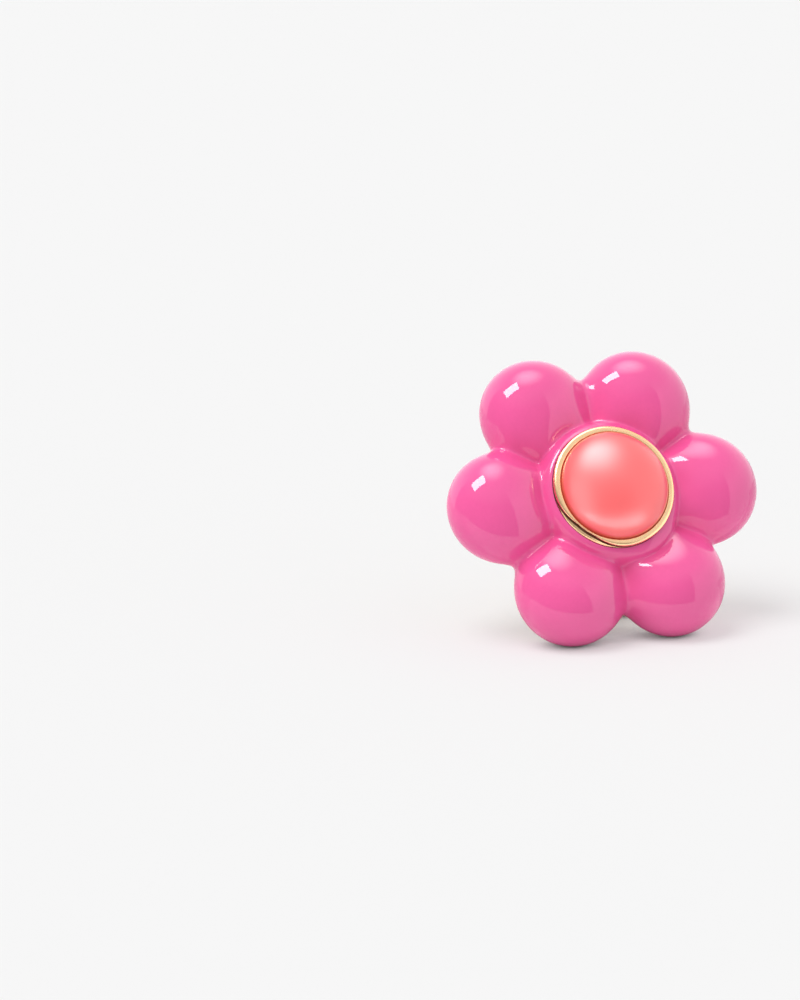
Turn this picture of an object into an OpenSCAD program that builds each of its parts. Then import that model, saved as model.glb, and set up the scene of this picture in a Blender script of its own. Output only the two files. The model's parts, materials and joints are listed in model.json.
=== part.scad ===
// Flower stud earring with an ear post and a hinged omega clip.
// The flower stands on its two lowest petals and on the barrels of the hinge,
// leaning back, with its face to -Y. Millimetres, +Z up, the floor at z = 0.
// The pieces are drawn flat first: the back of the frame at z = 0, the face
// towards +Z, the hinge at -Y. The module as_it_stands() then tips them up.

/* [Petals] */
// Distance from the flower's middle to the middle of each petal
petal_ring_r = 11.37; // [11.2:0.01:11.5]
// Half length of a petal along the flower's radius
petal_radial = 4.63; // [4.5:0.01:4.8]
// Half width of a petal across the radius
petal_across = 5.57; // [5.4:0.01:5.65]
// How far a petal runs on towards the stone, from its crest
petal_inward = 5.50; // [5:0.05:5.8]
// Half height of a petal
petal_high = 4.20; // [4:0.01:4.4]
// Height of the petals' middle above the back of the frame
petal_mid_z = 3.87; // [3.7:0.01:4]
// Half width of the web where two petals meet
web_half = 1.45; // [1.2:0.05:2]
// How far the valley between two petals is rounded, as a share
valley_round = 0.02; // [0.01:0.01:0.08]
// Wall of the hollow petals
shell_wall = 0.90; // [0.7:0.05:1]

/* [Collar and stone] */
// Outer radius of the bezel ring
bezel_r = 6.20; // [6.1:0.01:6.25]
// Thickness of the bezel's wall
bezel_wall = 0.68; // [0.6:0.02:0.7]
// Height of the bezel's edge above the back of the frame
bezel_top_z = 7.96; // [7.8:0.01:8.1]
// Height of the collar where it meets the bezel
collar_z = 7.10; // [7:0.05:7.2]
// Radius at which the collar has fallen half way
collar_fall_r = 7.45; // [7.3:0.05:7.6]
// Height of the stone's dome above its girdle
dome_high = 2.60; // [2.2:0.1:3]
// Depth of the stone's girdle below the bezel's edge
girdle_drop = 0.20; // [0.1:0.05:0.4]

/* [Back frame] */
// Radius of the frame at the tips of its lobes
frame_tip_r = 14.20; // [14:0.05:14.4]
// Radius of the frame in the valleys
frame_valley_r = 8.85; // [8.7:0.05:9]
// Half width of a lobe of the frame
frame_lobe_half = 3.35; // [3.25:0.05:3.4]
// Width of the rim outside the slots
rim_w = 1.10; // [1.05:0.05:1.2]
// Width of the slots that follow the rim
slot_w = 0.80; // [0.7:0.05:0.9]
// Width of the bridge at the tip of each lobe
bridge_w = 1.10; // [1:0.1:1.4]
// Thickness of the rim and of the pierced plate
frame_thick = 0.60; // [0.5:0.05:0.7]

/* [Post] */
// Diameter of the ear post
post_d = 0.76; // [0.7:0.01:0.9]
// Length of the ear post beyond its pad
post_len = 8.95; // [8.5:0.05:9.5]
// Distance of the post from the flower's middle
post_r = 5.30; // [5:0.1:5.4]

/* [Omega clip] */
// Diameter of the clip's wire
wire_d = 1.30; // [1.2:0.05:1.4]
// Outer width of the loop
loop_w = 11.00; // [10.6:0.1:11.2]
// Distance from the hinge's axis to the middle of the wire at the loop's end
loop_len = 17.40; // [17:0.1:17.6]
// Distance between the two legs at the hinge, middle to middle
leg_gap = 4.30; // [4.1:0.1:4.6]
// Gap between the closed loop's end and the plate
loop_end_gap = 0.45; // [0.3:0.05:0.8]
// Distance of the hinge's axis from the flower's middle
hinge_r = 7.90; // [7.8:0.05:8]
// Radius of the barrels
barrel_r = 1.73; // [1.65:0.01:1.75]
// Length of one barrel
barrel_len = 3.30; // [3.2:0.1:3.4]
// Radius of a barrel's inner end, from which it widens in a cone
barrel_in_r = 1.15; // [1.1:0.05:1.4]
// Radius of the fixed tube between the barrels
tube_r = 1.10; // [1.05:0.05:1.15]
// Length of the fixed tube
tube_len = 2.60; // [2.5:0.1:2.7]

/* [Standing] */
// How far the flower leans back from lying on its back
lean = 57.5; // [57:0.1:58]

/* [Hidden] */
$fn = 48;
PETALS = 6;
SECTOR = 360 / PETALS;
// clearance between pieces that sit on or in each other
seat_gap = 0.02;
// running clearances of the hinge pin in its fixed tube, and of the barrels' inner ends
pin_play = 0.04;
end_play = 0.10;

// Petal surface
// the across size squared, less the run of the ring at an angle from the petal's middle
function across_room(a) = pow(petal_across, 2) - pow(petal_ring_r * sin(a), 2);
web_room = across_room(SECTOR / 2);
web_soft = (pow(2 * pow(web_half, 2) - web_room, 2) - pow(web_room, 2)) / 4;
function soft_room(a) = (across_room(a) + sqrt(pow(across_room(a), 2) + 4 * web_soft)) / 2;
room_excess = soft_room(0) - pow(petal_across, 2);
// angle from the nearest petal's middle, with the valley rounded
function petal_angle(t) =
    acos(min(1, valley_round + (1 - valley_round) * cos(PETALS * t))) / PETALS;
// half width of the petal's round section at azimuth t, in the across measure
function section_half(t) =
    let (a = petal_angle(t))
    sqrt(soft_room(a) - room_excess * (1 + cos(PETALS * a)) / 2);
function crest_r(t) = petal_ring_r * cos(petal_angle(t));
function section_radial(t, inset) =
    (section_half(t) - inset) * petal_radial / petal_across;
function section_high(t, inset) =
    (section_half(t) - inset) * petal_high / petal_across;

// Collar: a rounded step that falls from the bezel to between the petals
collar_foot_z = 2.0;
collar_step = 0.32;
collar_blend = 0.80;
// the step has already lost a little height at the bezel's wall
collar_loss = 1 + exp((bezel_r - collar_fall_r) / collar_step);
function collar_height(r) = collar_foot_z
    + (collar_z - collar_foot_z) * collar_loss
    / (1 + exp((r - collar_fall_r) / collar_step));
collar_wall = 1.0;

// Lobed outline of the frame: a round tip and a hollow valley that meet in a tangent
lobe_c = frame_tip_r - frame_lobe_half;
valley_arc_r = (pow(lobe_c, 2) + pow(frame_valley_r, 2) - pow(frame_lobe_half, 2)
    - 2 * lobe_c * frame_valley_r * cos(SECTOR / 2))
    / (2 * (frame_lobe_half + lobe_c * cos(SECTOR / 2) - frame_valley_r));
valley_c = (frame_valley_r + valley_arc_r) * [cos(SECTOR / 2), sin(SECTOR / 2)];
tip_sweep = atan2(valley_c[1], valley_c[0] - lobe_c);
valley_start = tip_sweep + 180;
valley_end = SECTOR / 2 + 180;
TIP_STEPS = 7;
VALLEY_STEPS = 3;
HALF_STEPS = TIP_STEPS + VALLEY_STEPS;
// point i of half a lobe, from its tip to its valley, drawn in from the edge by inset
function half_lobe_point(i, inset) =
    i <= TIP_STEPS
    ? let (a = tip_sweep * i / TIP_STEPS)
        [lobe_c, 0] + (frame_lobe_half - inset) * [cos(a), sin(a)]
    : let (a = valley_start + (valley_end - valley_start) * (i - TIP_STEPS) / VALLEY_STEPS)
        valley_c + (valley_arc_r + inset) * [cos(a), sin(a)];
function turned(p, a) = [p[0] * cos(a) - p[1] * sin(a), p[0] * sin(a) + p[1] * cos(a)];
// the same point on any of the spokes: [step, angle of its petal, 1 or -1 for its side]
function lobe_point(spoke, inset) =
    let (p = half_lobe_point(spoke[0], inset))
    turned([p[0], p[1] * spoke[2]], spoke[1]);
SPOKES = [for (k = [0:PETALS - 1]) each concat(
    [for (i = [0:HALF_STEPS - 1]) [i, k * SECTOR, 1]],
    [for (i = [HALF_STEPS:-1:1]) [i, (k + 1) * SECTOR, -1]]
)];
// azimuth of a spoke on the petals: even steps round the ball, then across the valley
tip_end_azimuth = atan2(petal_across, petal_ring_r);
function half_azimuth(i) =
    i <= TIP_STEPS
    ? let (a = 90 * i / TIP_STEPS)
        atan2(petal_across * sin(a), petal_ring_r + petal_radial * cos(a))
    : tip_end_azimuth
        + (SECTOR / 2 - tip_end_azimuth) * (i - TIP_STEPS) / VALLEY_STEPS;
function azimuth(spoke) = spoke[1] + spoke[2] * half_azimuth(spoke[0]);

shell_foot_z = frame_thick + seat_gap;
foot_angle = asin((shell_foot_z - petal_mid_z) / petal_high);
hole_r = bezel_r + seat_gap;

// the petal is longer on its inner side; it takes on that length over this run
inward_ease = 1.2;
function section_inward(t, run, inset) =
    let (outward = section_radial(t, inset))
    outward + (petal_inward - inset - outward) * (1 - exp(-run / inward_ease));
// petal's height at radius r inside its crest; the far side runs out softly
run_out = 0.01;
function petal_height(t, r, inset) =
    let (run = crest_r(t) - r, v = 1 - pow(run / section_inward(t, run, inset), 2))
    petal_mid_z + section_high(t, inset)
        * sqrt((v + sqrt(v * v + run_out)) / (1 + sqrt(1 + run_out)));
valley_crest_r = crest_r(SECTOR / 2);
function soft_max(a, b, k) = (a + b + sqrt(pow(a - b, 2) + k * k)) / 2;
// ring from the hole (share 0) to the crest (share 1); round until it nears the crest
function crown_ring(share, inset, drop) = [for (s = SPOKES)
    let (t = azimuth(s),
        r = hole_r + (valley_crest_r - hole_r) * share
            + (crest_r(t) - valley_crest_r) * pow(share, 4),
        z = soft_max(petal_height(t, r, inset), collar_height(r) - drop,
            collar_blend * (1 - share * share)))
    [r * cos(t), r * sin(t), z]];
// ring at an angle up the outer side of the ball
function side_ring(angle, inset) = [for (s = SPOKES)
    let (t = azimuth(s), r = crest_r(t) + section_radial(t, inset) * cos(angle))
    [r * cos(t), r * sin(t), petal_mid_z + section_high(t, inset) * sin(angle)]];
// ring at an angle below the ball's widest line, drawing in to the frame's outline
function under_ring(angle, inset) = [for (s = SPOKES)
    let (t = azimuth(s), wide = crest_r(t) + section_radial(t, inset),
        share = (cos(angle) - cos(foot_angle)) / (1 - cos(foot_angle)),
        low = lobe_point(s, inset),
        p = low + (wide * [cos(t), sin(t)] - low) * share)
    [p[0], p[1], petal_mid_z + petal_high * sin(angle)]];
// all rings of one skin, from the hole over the petals down to the foot
function skin(inset, drop, crown, side, under) = concat(
    [for (k = [0:crown]) crown_ring(pow(k / crown, 1.2), inset, drop)],
    [for (k = [side - 1:-1:0]) side_ring(90 * k / side, inset)],
    [for (k = [1:under]) under_ring(foot_angle * k / under, inset)]
);
function reversed(list) = [for (i = [len(list) - 1:-1:0]) list[i]];

// Stone and bezel
stone_r = bezel_r - bezel_wall - 0.06;
girdle_z = bezel_top_z - girdle_drop;
cup_floor_z = 4.60;
cup_floor = 0.50;
// roundings of the bezel's edge, outside and over the stone
lip_round = 0.30;
lip_inner_round = 0.12;

// Hinge and loop
// lowest point of the two petals that touch the floor, as the flower stands
low_a = 3 * SECTOR / 2 - SECTOR;
petal_reach = norm([
    petal_radial * cos(low_a) * sin(lean),
    petal_across * sin(low_a) * sin(lean),
    petal_high * cos(lean)
]);
// the flat facets leave the ball this much short of its full depth there
facet_loss = 0.137;
petal_low = petal_reach + petal_ring_r * cos(low_a) * sin(lean) - petal_mid_z * cos(lean)
    - facet_loss;
// the hinge stands off the frame just far enough for its barrels to touch the floor too
hinge_off = (petal_low - barrel_r - hinge_r * sin(lean)) / cos(lean);
loop_end_off = wire_d / 2 + loop_end_gap;
loop_tilt = asin((hinge_off - loop_end_off) / loop_len);
loop_arc_r = (loop_w - wire_d) / 2;
loop_arc_c = loop_len - loop_arc_r;
leg_x = leg_gap / 2;
leg_reach = norm([leg_x, loop_arc_c]);
// where the straight legs run into the arc, as an angle below the loop's widest line
leg_end_a = -(atan2(-loop_arc_c, leg_x) + acos(loop_arc_r / leg_reach));
leg_end = [loop_arc_r * cos(leg_end_a), loop_arc_c - loop_arc_r * sin(leg_end_a)];
leg_lean = atan2(leg_end[0] - leg_x, leg_end[1]);
LOOP_STEPS = 22;
WIRE_SIDES = 14;
barrel_in_x = tube_len / 2 + end_play;
barrel_out_x = barrel_in_x + barrel_len;
barrel_cone = 0.90;
barrel_round = 0.15;
cup_r = 1.25;
cup_deep = 0.70;
pin_r = 0.50;
pin_head_r = 0.85;
pin_head = 0.35;
side_hole_r = 0.18;

// Bracket
strap_w = 3.20;
strap_thick = 0.45;
strap_top = 3.70;
strap_foot = 6.70;
arm_d = 0.90;
arm_foot = [0.75, -6.20, -0.30];
arm_knee = [1.00, -7.10, -2.20];
window = [1.50, 0.90];

// Pierced work
rosette_r = 5.50;
DROPS = 8;
post_pad_r = 0.95;
post_pad = 0.55;
oval_x = 0.95;
oval_y = 0.72;
oval_r = 3.55;
oval_thick = 0.25;

// Pose: the flower leans back, and its box is centred on the origin
stand_z = petal_low;
stand_y = 0.99;

module as_it_stands() {
    translate([0, stand_y, stand_z]) rotate([lean, 0, 0]) children();
}

module at_hinge() {
    translate([0, -hinge_r, -hinge_off]) children();
}

// Hollow six-petal shell: an outer and an inner skin joined at the hole and at the foot
module petal_shell() {
    rings = concat(skin(0, 0, 9, 5, 4), reversed(skin(shell_wall, collar_wall, 5, 3, 2)));
    n = len(SPOKES);
    m = len(rings);
    color("hotpink") as_it_stands() polyhedron(
        points = [for (ring = rings) each ring],
        faces = [for (i = [0:m - 1], j = [0:n - 1])
            let (a = i * n + j, b = i * n + (j + 1) % n,
                c = ((i + 1) % m) * n + (j + 1) % n, d = ((i + 1) % m) * n + j)
            each [[a, b, c], [a, c, d]]],
        convexity = 6
    );
}

// Ring with a rounded edge and a floor that carries the stone
module bezel_cup() {
    lip = [bezel_r - lip_round, bezel_top_z - lip_round];
    lip_in = [bezel_r - bezel_wall + lip_inner_round, bezel_top_z - lip_inner_round];
    color("gold") as_it_stands() rotate_extrude() polygon(concat(
        [[0, cup_floor_z], [bezel_r, cup_floor_z]],
        [for (a = [0:30:90]) lip + lip_round * [cos(a), sin(a)]],
        [for (a = [90:45:180]) lip_in + lip_inner_round * [cos(a), sin(a)]],
        [[bezel_r - bezel_wall, cup_floor_z + cup_floor], [0, cup_floor_z + cup_floor]]
    ));
}

// Domed stone: a straight girdle and an elliptical dome
module coral_stone() {
    base_z = cup_floor_z + cup_floor + seat_gap;
    color("salmon") as_it_stands() rotate_extrude() polygon(concat(
        [[0, base_z], [stone_r, base_z]],
        [for (a = [0:7.5:90]) [stone_r * cos(a), girdle_z + dome_high * sin(a)]]
    ));
}

module lobed_outline(inset) {
    polygon([for (s = SPOKES) lobe_point(s, inset)]);
}

// Teardrop hole from radius a to radius b, round at its outer end
module drop_hole(a, b, half) {
    polygon([for (t = [0:36:324])
        [a + (b - a) * (1 - cos(t)) / 2, half * 1.3 * sin(t) * pow(sin(t / 2), 2)]]);
}

module rosette(a, b, half) {
    for (i = [0:DROPS - 1]) rotate((i + 0.5) * 360 / DROPS) drop_hole(a, b, half);
}

module oval(x, y) {
    polygon([for (t = [0:30:330]) [x * cos(t), y * sin(t)]]);
}

// Small holes that run out along one lobe
module lobe_holes() {
    for (side = [-1, 1]) {
        translate([8.0, side * 0.62]) rotate(side * 25) circle(r = 0.46, $fn = 3);
        translate([10.1, side * 0.52]) rotate(180 - side * 20) circle(r = 0.42, $fn = 3);
    }
    translate([9.1, 0]) oval(0.30, 0.62);
    translate([11.1, 0]) oval(0.28, 0.48);
}

// Gold back: rim, pierced plate and bridges, with the bracket and the post's pad soldered on
module back_frame() {
    color("goldenrod") as_it_stands() {
        linear_extrude(frame_thick) difference() {
            lobed_outline(0);
            difference() {
                lobed_outline(rim_w);
                lobed_outline(rim_w + slot_w);
                for (k = [0:PETALS - 1]) rotate(k * SECTOR)
                    translate([lobe_c, -bridge_w / 2]) square([frame_lobe_half, bridge_w]);
            }
            rosette(0.62, 2.45, 0.52);
            for (k = [0:PETALS - 1]) {
                rotate(k * SECTOR) {
                    translate([rosette_r, 0]) rosette(0.50, 1.95, 0.42);
                    lobe_holes();
                }
                rotate((k + 0.5) * SECTOR) translate([3.35, 0]) circle(r = 0.42, $fn = 3);
            }
            for (k = [0, 2, 3, 5]) rotate((k + 0.5) * SECTOR)
                translate([5.65, 0]) rotate(180) circle(r = 0.55, $fn = 3);
        }
        bracket();
        translate([0, post_r, -post_pad]) cylinder(r = post_pad_r, h = post_pad + 0.1);
    }
}

module rod(a, b, d) {
    v = b - a;
    translate(a) rotate([0, acos(v[2] / norm(v)), atan2(v[1], v[0])]) cylinder(d = d, h = norm(v));
}

// Strap on the plate and two arms that carry the hinge's fixed tube
module bracket() {
    translate([-strap_w / 2, -strap_foot, -strap_thick])
        cube([strap_w, strap_foot - strap_top, strap_thick + 0.1]);
    for (side = [-1, 1]) {
        foot = [side * arm_foot[0], arm_foot[1], arm_foot[2]];
        knee = [side * arm_knee[0], arm_knee[1], arm_knee[2]];
        tube = [side * (tube_len - arm_d) / 2, -hinge_r, -hinge_off + tube_r - 0.15];
        rod(foot, knee, arm_d);
        translate(knee) sphere(d = arm_d + 0.1);
        rod(knee, tube, arm_d);
    }
    at_hinge() difference() {
        rotate([0, 90, 0]) cylinder(r = tube_r, h = tube_len, center = true);
        rotate([0, 90, 0])
            cylinder(r = pin_r + pin_play, h = tube_len + 1, center = true);
        translate([-window[0] / 2, -window[1] / 2, -tube_r - 1])
            cube([window[0], window[1], tube_r + 1]);
    }
}

module oval_disc() {
    color("silver") as_it_stands()
        translate([0, oval_r, -oval_thick - seat_gap])
            linear_extrude(oval_thick) oval(oval_x, oval_y);
}

// Straight round post with a rounded tip, butted on the pad
module ear_post() {
    r = post_d / 2;
    color("gray") as_it_stands() translate([0, post_r, -post_pad - seat_gap])
        rotate([180, 0, 0]) {
            cylinder(r = r, h = post_len - r);
            translate([0, 0, post_len - r]) sphere(r = r);
        }
}

// One barrel along +X from its inner end; the outer end is a cup for the pin's head
module barrel() {
    difference() {
        rotate([0, 90, 0]) rotate_extrude() polygon([
            [0, 0],
            [barrel_in_r, 0],
            [barrel_r, barrel_cone],
            [barrel_r, barrel_len - barrel_round],
            [barrel_r - barrel_round, barrel_len],
            [cup_r, barrel_len],
            [cup_r, barrel_len - cup_deep],
            [0, barrel_len - cup_deep]
        ]);
        translate([barrel_len / 2, 0, -barrel_r - 1])
            cylinder(r = side_hole_r, h = barrel_r + 1);
    }
}

// Wire loop of the clip, flat in X and Y: two straight legs that run into a round arc.
// Each ring of the tube stands square to the route, [x, y, direction of the route]
module wire_loop() {
    r = wire_d / 2;
    route = concat(
        [[leg_x, 0, 90 - leg_lean]],
        [for (i = [0:LOOP_STEPS])
            let (a = -leg_end_a + (180 + 2 * leg_end_a) * i / LOOP_STEPS)
            [loop_arc_r * cos(a), loop_arc_c + loop_arc_r * sin(a), a + 90]],
        [[-leg_x, 0, 270 + leg_lean]]
    );
    n = WIRE_SIDES;
    m = len(route);
    polyhedron(
        points = [for (p = route, j = [0:n - 1])
            let (out = r * cos(360 * j / n), up = r * sin(360 * j / n))
            [p[0] + out * sin(p[2]), p[1] - out * cos(p[2]), up]],
        faces = concat(
            [for (i = [0:m - 2], j = [0:n - 1])
                let (a = i * n + j, b = i * n + (j + 1) % n)
                each [[a, b + n, a + n], [a, b, b + n]]],
            [[for (j = [n - 1:-1:0]) j], [for (j = [0:n - 1]) (m - 1) * n + j]]
        )
    );
}

// Loop and barrels, soldered into one
module omega_clip() {
    color("gold") as_it_stands() at_hinge() difference() {
        union() {
            rotate([loop_tilt, 0, 0]) wire_loop();
            for (side = [0, 1]) mirror([side, 0, 0]) translate([barrel_in_x, 0, 0]) barrel();
        }
        rotate([0, 90, 0])
            cylinder(r = pin_r + seat_gap, h = 2 * barrel_out_x, center = true);
    }
}

// Pin with a head in the cup of each barrel
module hinge_pin() {
    head_x = barrel_out_x - cup_deep + seat_gap;
    color("darkgoldenrod") as_it_stands() at_hinge() rotate([0, 90, 0]) {
        cylinder(r = pin_r, h = 2 * head_x, center = true);
        for (side = [0, 1]) mirror([0, 0, side])
            translate([0, 0, head_x]) cylinder(r = pin_head_r, h = pin_head);
    }
}

petal_shell();
bezel_cup();
coral_stone();
back_frame();
oval_disc();
ear_post();
omega_clip();
hinge_pin();
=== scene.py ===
"""Flower stud earring: enamelled petals, a stone in a bezel, a pierced gold back,
an ear post and a hinged omega clip. Lengths in metres, the row frame, floor at z = 0."""

import json
import math

import bmesh
import bpy
import numpy as np
from bpy.props import FloatProperty, FloatVectorProperty, PointerProperty
from mathutils import Matrix, Vector


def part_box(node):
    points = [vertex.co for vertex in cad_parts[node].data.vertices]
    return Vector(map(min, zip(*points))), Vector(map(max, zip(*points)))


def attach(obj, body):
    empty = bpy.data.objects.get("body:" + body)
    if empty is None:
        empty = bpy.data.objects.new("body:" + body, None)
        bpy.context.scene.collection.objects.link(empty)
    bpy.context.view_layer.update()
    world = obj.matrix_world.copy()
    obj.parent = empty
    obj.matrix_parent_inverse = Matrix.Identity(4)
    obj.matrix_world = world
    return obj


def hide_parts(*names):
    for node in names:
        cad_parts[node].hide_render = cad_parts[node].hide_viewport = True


bl_info = {
    "name": "Flower Stud Earring",
    "version": (1, 0, 0),
    "blender": (4, 5, 0),
    "location": "3D View > Sidebar > Earring",
    "description": "Builds a flower stud earring with an omega clip around its frame",
    "category": "Add Mesh",
}

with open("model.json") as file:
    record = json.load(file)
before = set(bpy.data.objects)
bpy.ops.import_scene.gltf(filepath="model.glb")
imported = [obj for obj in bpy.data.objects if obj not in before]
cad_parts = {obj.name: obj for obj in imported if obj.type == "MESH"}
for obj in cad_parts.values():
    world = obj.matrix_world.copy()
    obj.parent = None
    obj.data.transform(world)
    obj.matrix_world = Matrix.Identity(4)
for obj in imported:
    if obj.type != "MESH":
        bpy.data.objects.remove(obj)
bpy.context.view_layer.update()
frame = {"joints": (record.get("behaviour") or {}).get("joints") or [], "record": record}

MM = 0.001
PETALS = 6
SECTOR = 2 * math.pi / PETALS


# What the frame says


def half_width(node):
    """Half of a node's size along X. The flower's nodes are centred there."""
    low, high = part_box(node)
    return (high.x - low.x) / 2


MOUNT = next(m for m in frame["record"]["mounts"] if m["name"] == "ear_post")
JOINT = frame["joints"][0]
# the flower leans back until its face's normal is opposite to the post
LEAN = math.atan2(MOUNT["axis"][1], -MOUNT["axis"][2])
POST_FROM_MIDDLE = 5.30 * MM
# the mount's point is half way along the part of the post that an ear covers
MOUNT_DEPTH = 4.85 * MM
TIP_UP = Matrix.Rotation(LEAN, 4, "X")
FLOWER_MIDDLE = Vector(MOUNT["pos_m"]) - TIP_UP @ Vector((0, POST_FROM_MIDDLE, -MOUNT_DEPTH))
# from the flower's own frame, face up along Z and back of the frame at 0, to the row frame
STAND = Matrix.Translation(FLOWER_MIDDLE) @ TIP_UP
HINGE = STAND.inverted() @ Vector(JOINT["pos_m"])
# where each body's own frame, in which its pieces are built, is in the row frame
BUILT_AT = {"flower": STAND, "clip": STAND @ Matrix.Translation(HINGE)}


# Sizes and finishes


def length(name, description, default):
    """A length in metres with its default."""
    return FloatProperty(
        name=name, description=description, default=default, min=0.0,
        unit="LENGTH", subtype="DISTANCE", precision=5,
    )


def colour(name, description, default):
    """A linear colour with its default."""
    return FloatVectorProperty(
        name=name, description=description, default=default, size=3,
        min=0.0, max=1.0, subtype="COLOR",
    )


class EarringPetalSizes(bpy.types.PropertyGroup):
    """Sizes of the petals and the collar"""
    ring_r: length("Petal ring", "From the flower's middle to a petal's middle", 11.37 * MM)
    across: length("Half width", "Half width of a petal across the radius", 5.57 * MM)
    high: length("Half height", "Half height of a petal", 4.20 * MM)
    inward: length("Inward run", "How far the petals run on towards the stone", 5.30 * MM)
    mid_z: length("Middle height", "Height of the petals' middle above the back", 3.87 * MM)
    web_half: length("Web", "Half width of the web where two petals meet", 1.45 * MM)
    wall: length("Wall", "Wall of the hollow petals", 0.90 * MM)
    collar_z: length("Collar height", "Height of the collar at the bezel", 7.10 * MM)
    collar_r: length("Collar radius", "Radius where the collar has fallen half way", 7.45 * MM)


class EarringStoneSizes(bpy.types.PropertyGroup):
    """Sizes of the bezel and the stone"""
    bezel_wall: length("Bezel wall", "Thickness of the bezel's wall", 0.68 * MM)
    bezel_top: length("Bezel height", "Height of the bezel's edge above the back", 7.96 * MM)
    dome_high: length("Dome", "Height of the stone's dome above its girdle", 2.60 * MM)
    girdle_drop: length("Girdle", "Depth of the girdle below the bezel's edge", 0.20 * MM)


class EarringBackSizes(bpy.types.PropertyGroup):
    """Sizes of the gold back"""
    valley_r: length("Valley radius", "Radius of the frame in the valleys", 8.85 * MM)
    lobe_half: length("Lobe half width", "Half width of a lobe of the frame", 3.35 * MM)
    rim_w: length("Rim width", "Width of the rim outside the slots", 1.10 * MM)
    slot_w: length("Slot width", "Width of the slots that follow the rim", 0.80 * MM)
    bridge_w: length("Bridge width", "Width of the bridge at each lobe's tip", 1.10 * MM)
    thick: length("Thickness", "Thickness of the rim and the plate", 0.60 * MM)
    rib_r: length("Rib radius", "Radius of the ribs round the holes", 0.075 * MM)


class EarringClipSizes(bpy.types.PropertyGroup):
    """Sizes of the post, the hinge and the loop"""
    post_len: length("Post length", "From the plate to the post's tip", 9.52 * MM)
    wire_d: length("Wire", "Diameter of the loop's wire", 1.30 * MM)
    loop_w: length("Loop width", "Outer width of the loop", 11.00 * MM)
    loop_len: length("Loop length", "From the hinge's axis to the loop's end", 17.40 * MM)
    leg_gap: length("Leg gap", "Between the legs at the hinge, middle to middle", 4.30 * MM)
    barrel_r: length("Barrel radius", "Radius of the barrels", 1.73 * MM)
    barrel_len: length("Barrel length", "Length of one barrel", 3.30 * MM)
    tube_r: length("Tube radius", "Radius of the fixed tube", 1.10 * MM)
    tube_len: length("Tube length", "Length of the fixed tube", 2.60 * MM)


class EarringFinishes(bpy.types.PropertyGroup):
    """Colours of the finishes"""
    enamel: colour("Enamel", "Colour of the petals", (0.860, 0.104, 0.335))
    stone: colour("Stone", "Colour of the stone", (1.000, 0.105, 0.112))
    gold: colour("Gold", "Colour of the plating", (1.000, 0.672, 0.375))
    steel: colour("Steel", "Colour of the post", (0.540, 0.490, 0.460))
    silver: colour("Silver", "Colour of the small oval", (0.830, 0.800, 0.780))


class EarringStudio(bpy.types.PropertyGroup):
    """Camera and light"""
    azimuth: FloatProperty(
        name="Camera azimuth", description="Turn of the camera to the left of the front",
        default=math.radians(20.4), subtype="ANGLE",
    )
    elevation: FloatProperty(
        name="Camera elevation", description="Height of the camera above the horizon",
        default=math.radians(15.0), subtype="ANGLE",
    )
    distance: length("Camera distance", "From the camera to the earring", 1.5)
    softbox: FloatProperty(
        name="Softbox", description="Power of the small softbox seen in the gloss",
        default=2.7, unit="POWER",
    )
    key: FloatProperty(
        name="Key light", description="Strength of the broad light from the upper left",
        default=1.75,
    )
    ambient: FloatProperty(
        name="Ambient light", description="Even light from all sides", default=0.70,
    )
    room: FloatProperty(
        name="White walls", description="Brightness of the white walls seen in the gloss",
        default=1.50,
    )


# Meshes

# points nearer than this are one, and edges sharper than this many degrees stay sharp
WELD = 1e-7
SHARP = 40.0
# the half ball at a wire's end: its steps, and how near its pole they go in degrees
END_STEPS = 6
END_POLE = 88.0


def add_object(name, data):
    """Adds an object, in place of an earlier run's, so a button can be pressed again."""
    old = bpy.data.objects.get(name)
    if old:
        bpy.data.objects.remove(old)
    made = bpy.data.objects.new(name, data)
    bpy.context.scene.collection.objects.link(made)
    return made


def grid_faces(rows, around, closed):
    """Quads through rows of points, each row a closed ring of the same count."""
    i = np.arange(rows if closed else rows - 1)[:, None]
    j = np.arange(around)[None, :]
    corners = (
        i * around + j,
        i * around + (j + 1) % around,
        (i + 1) % rows * around + (j + 1) % around,
        (i + 1) % rows * around + j,
    )
    return np.stack(np.broadcast_arrays(*corners), axis=-1).reshape(-1, 4)


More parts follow.
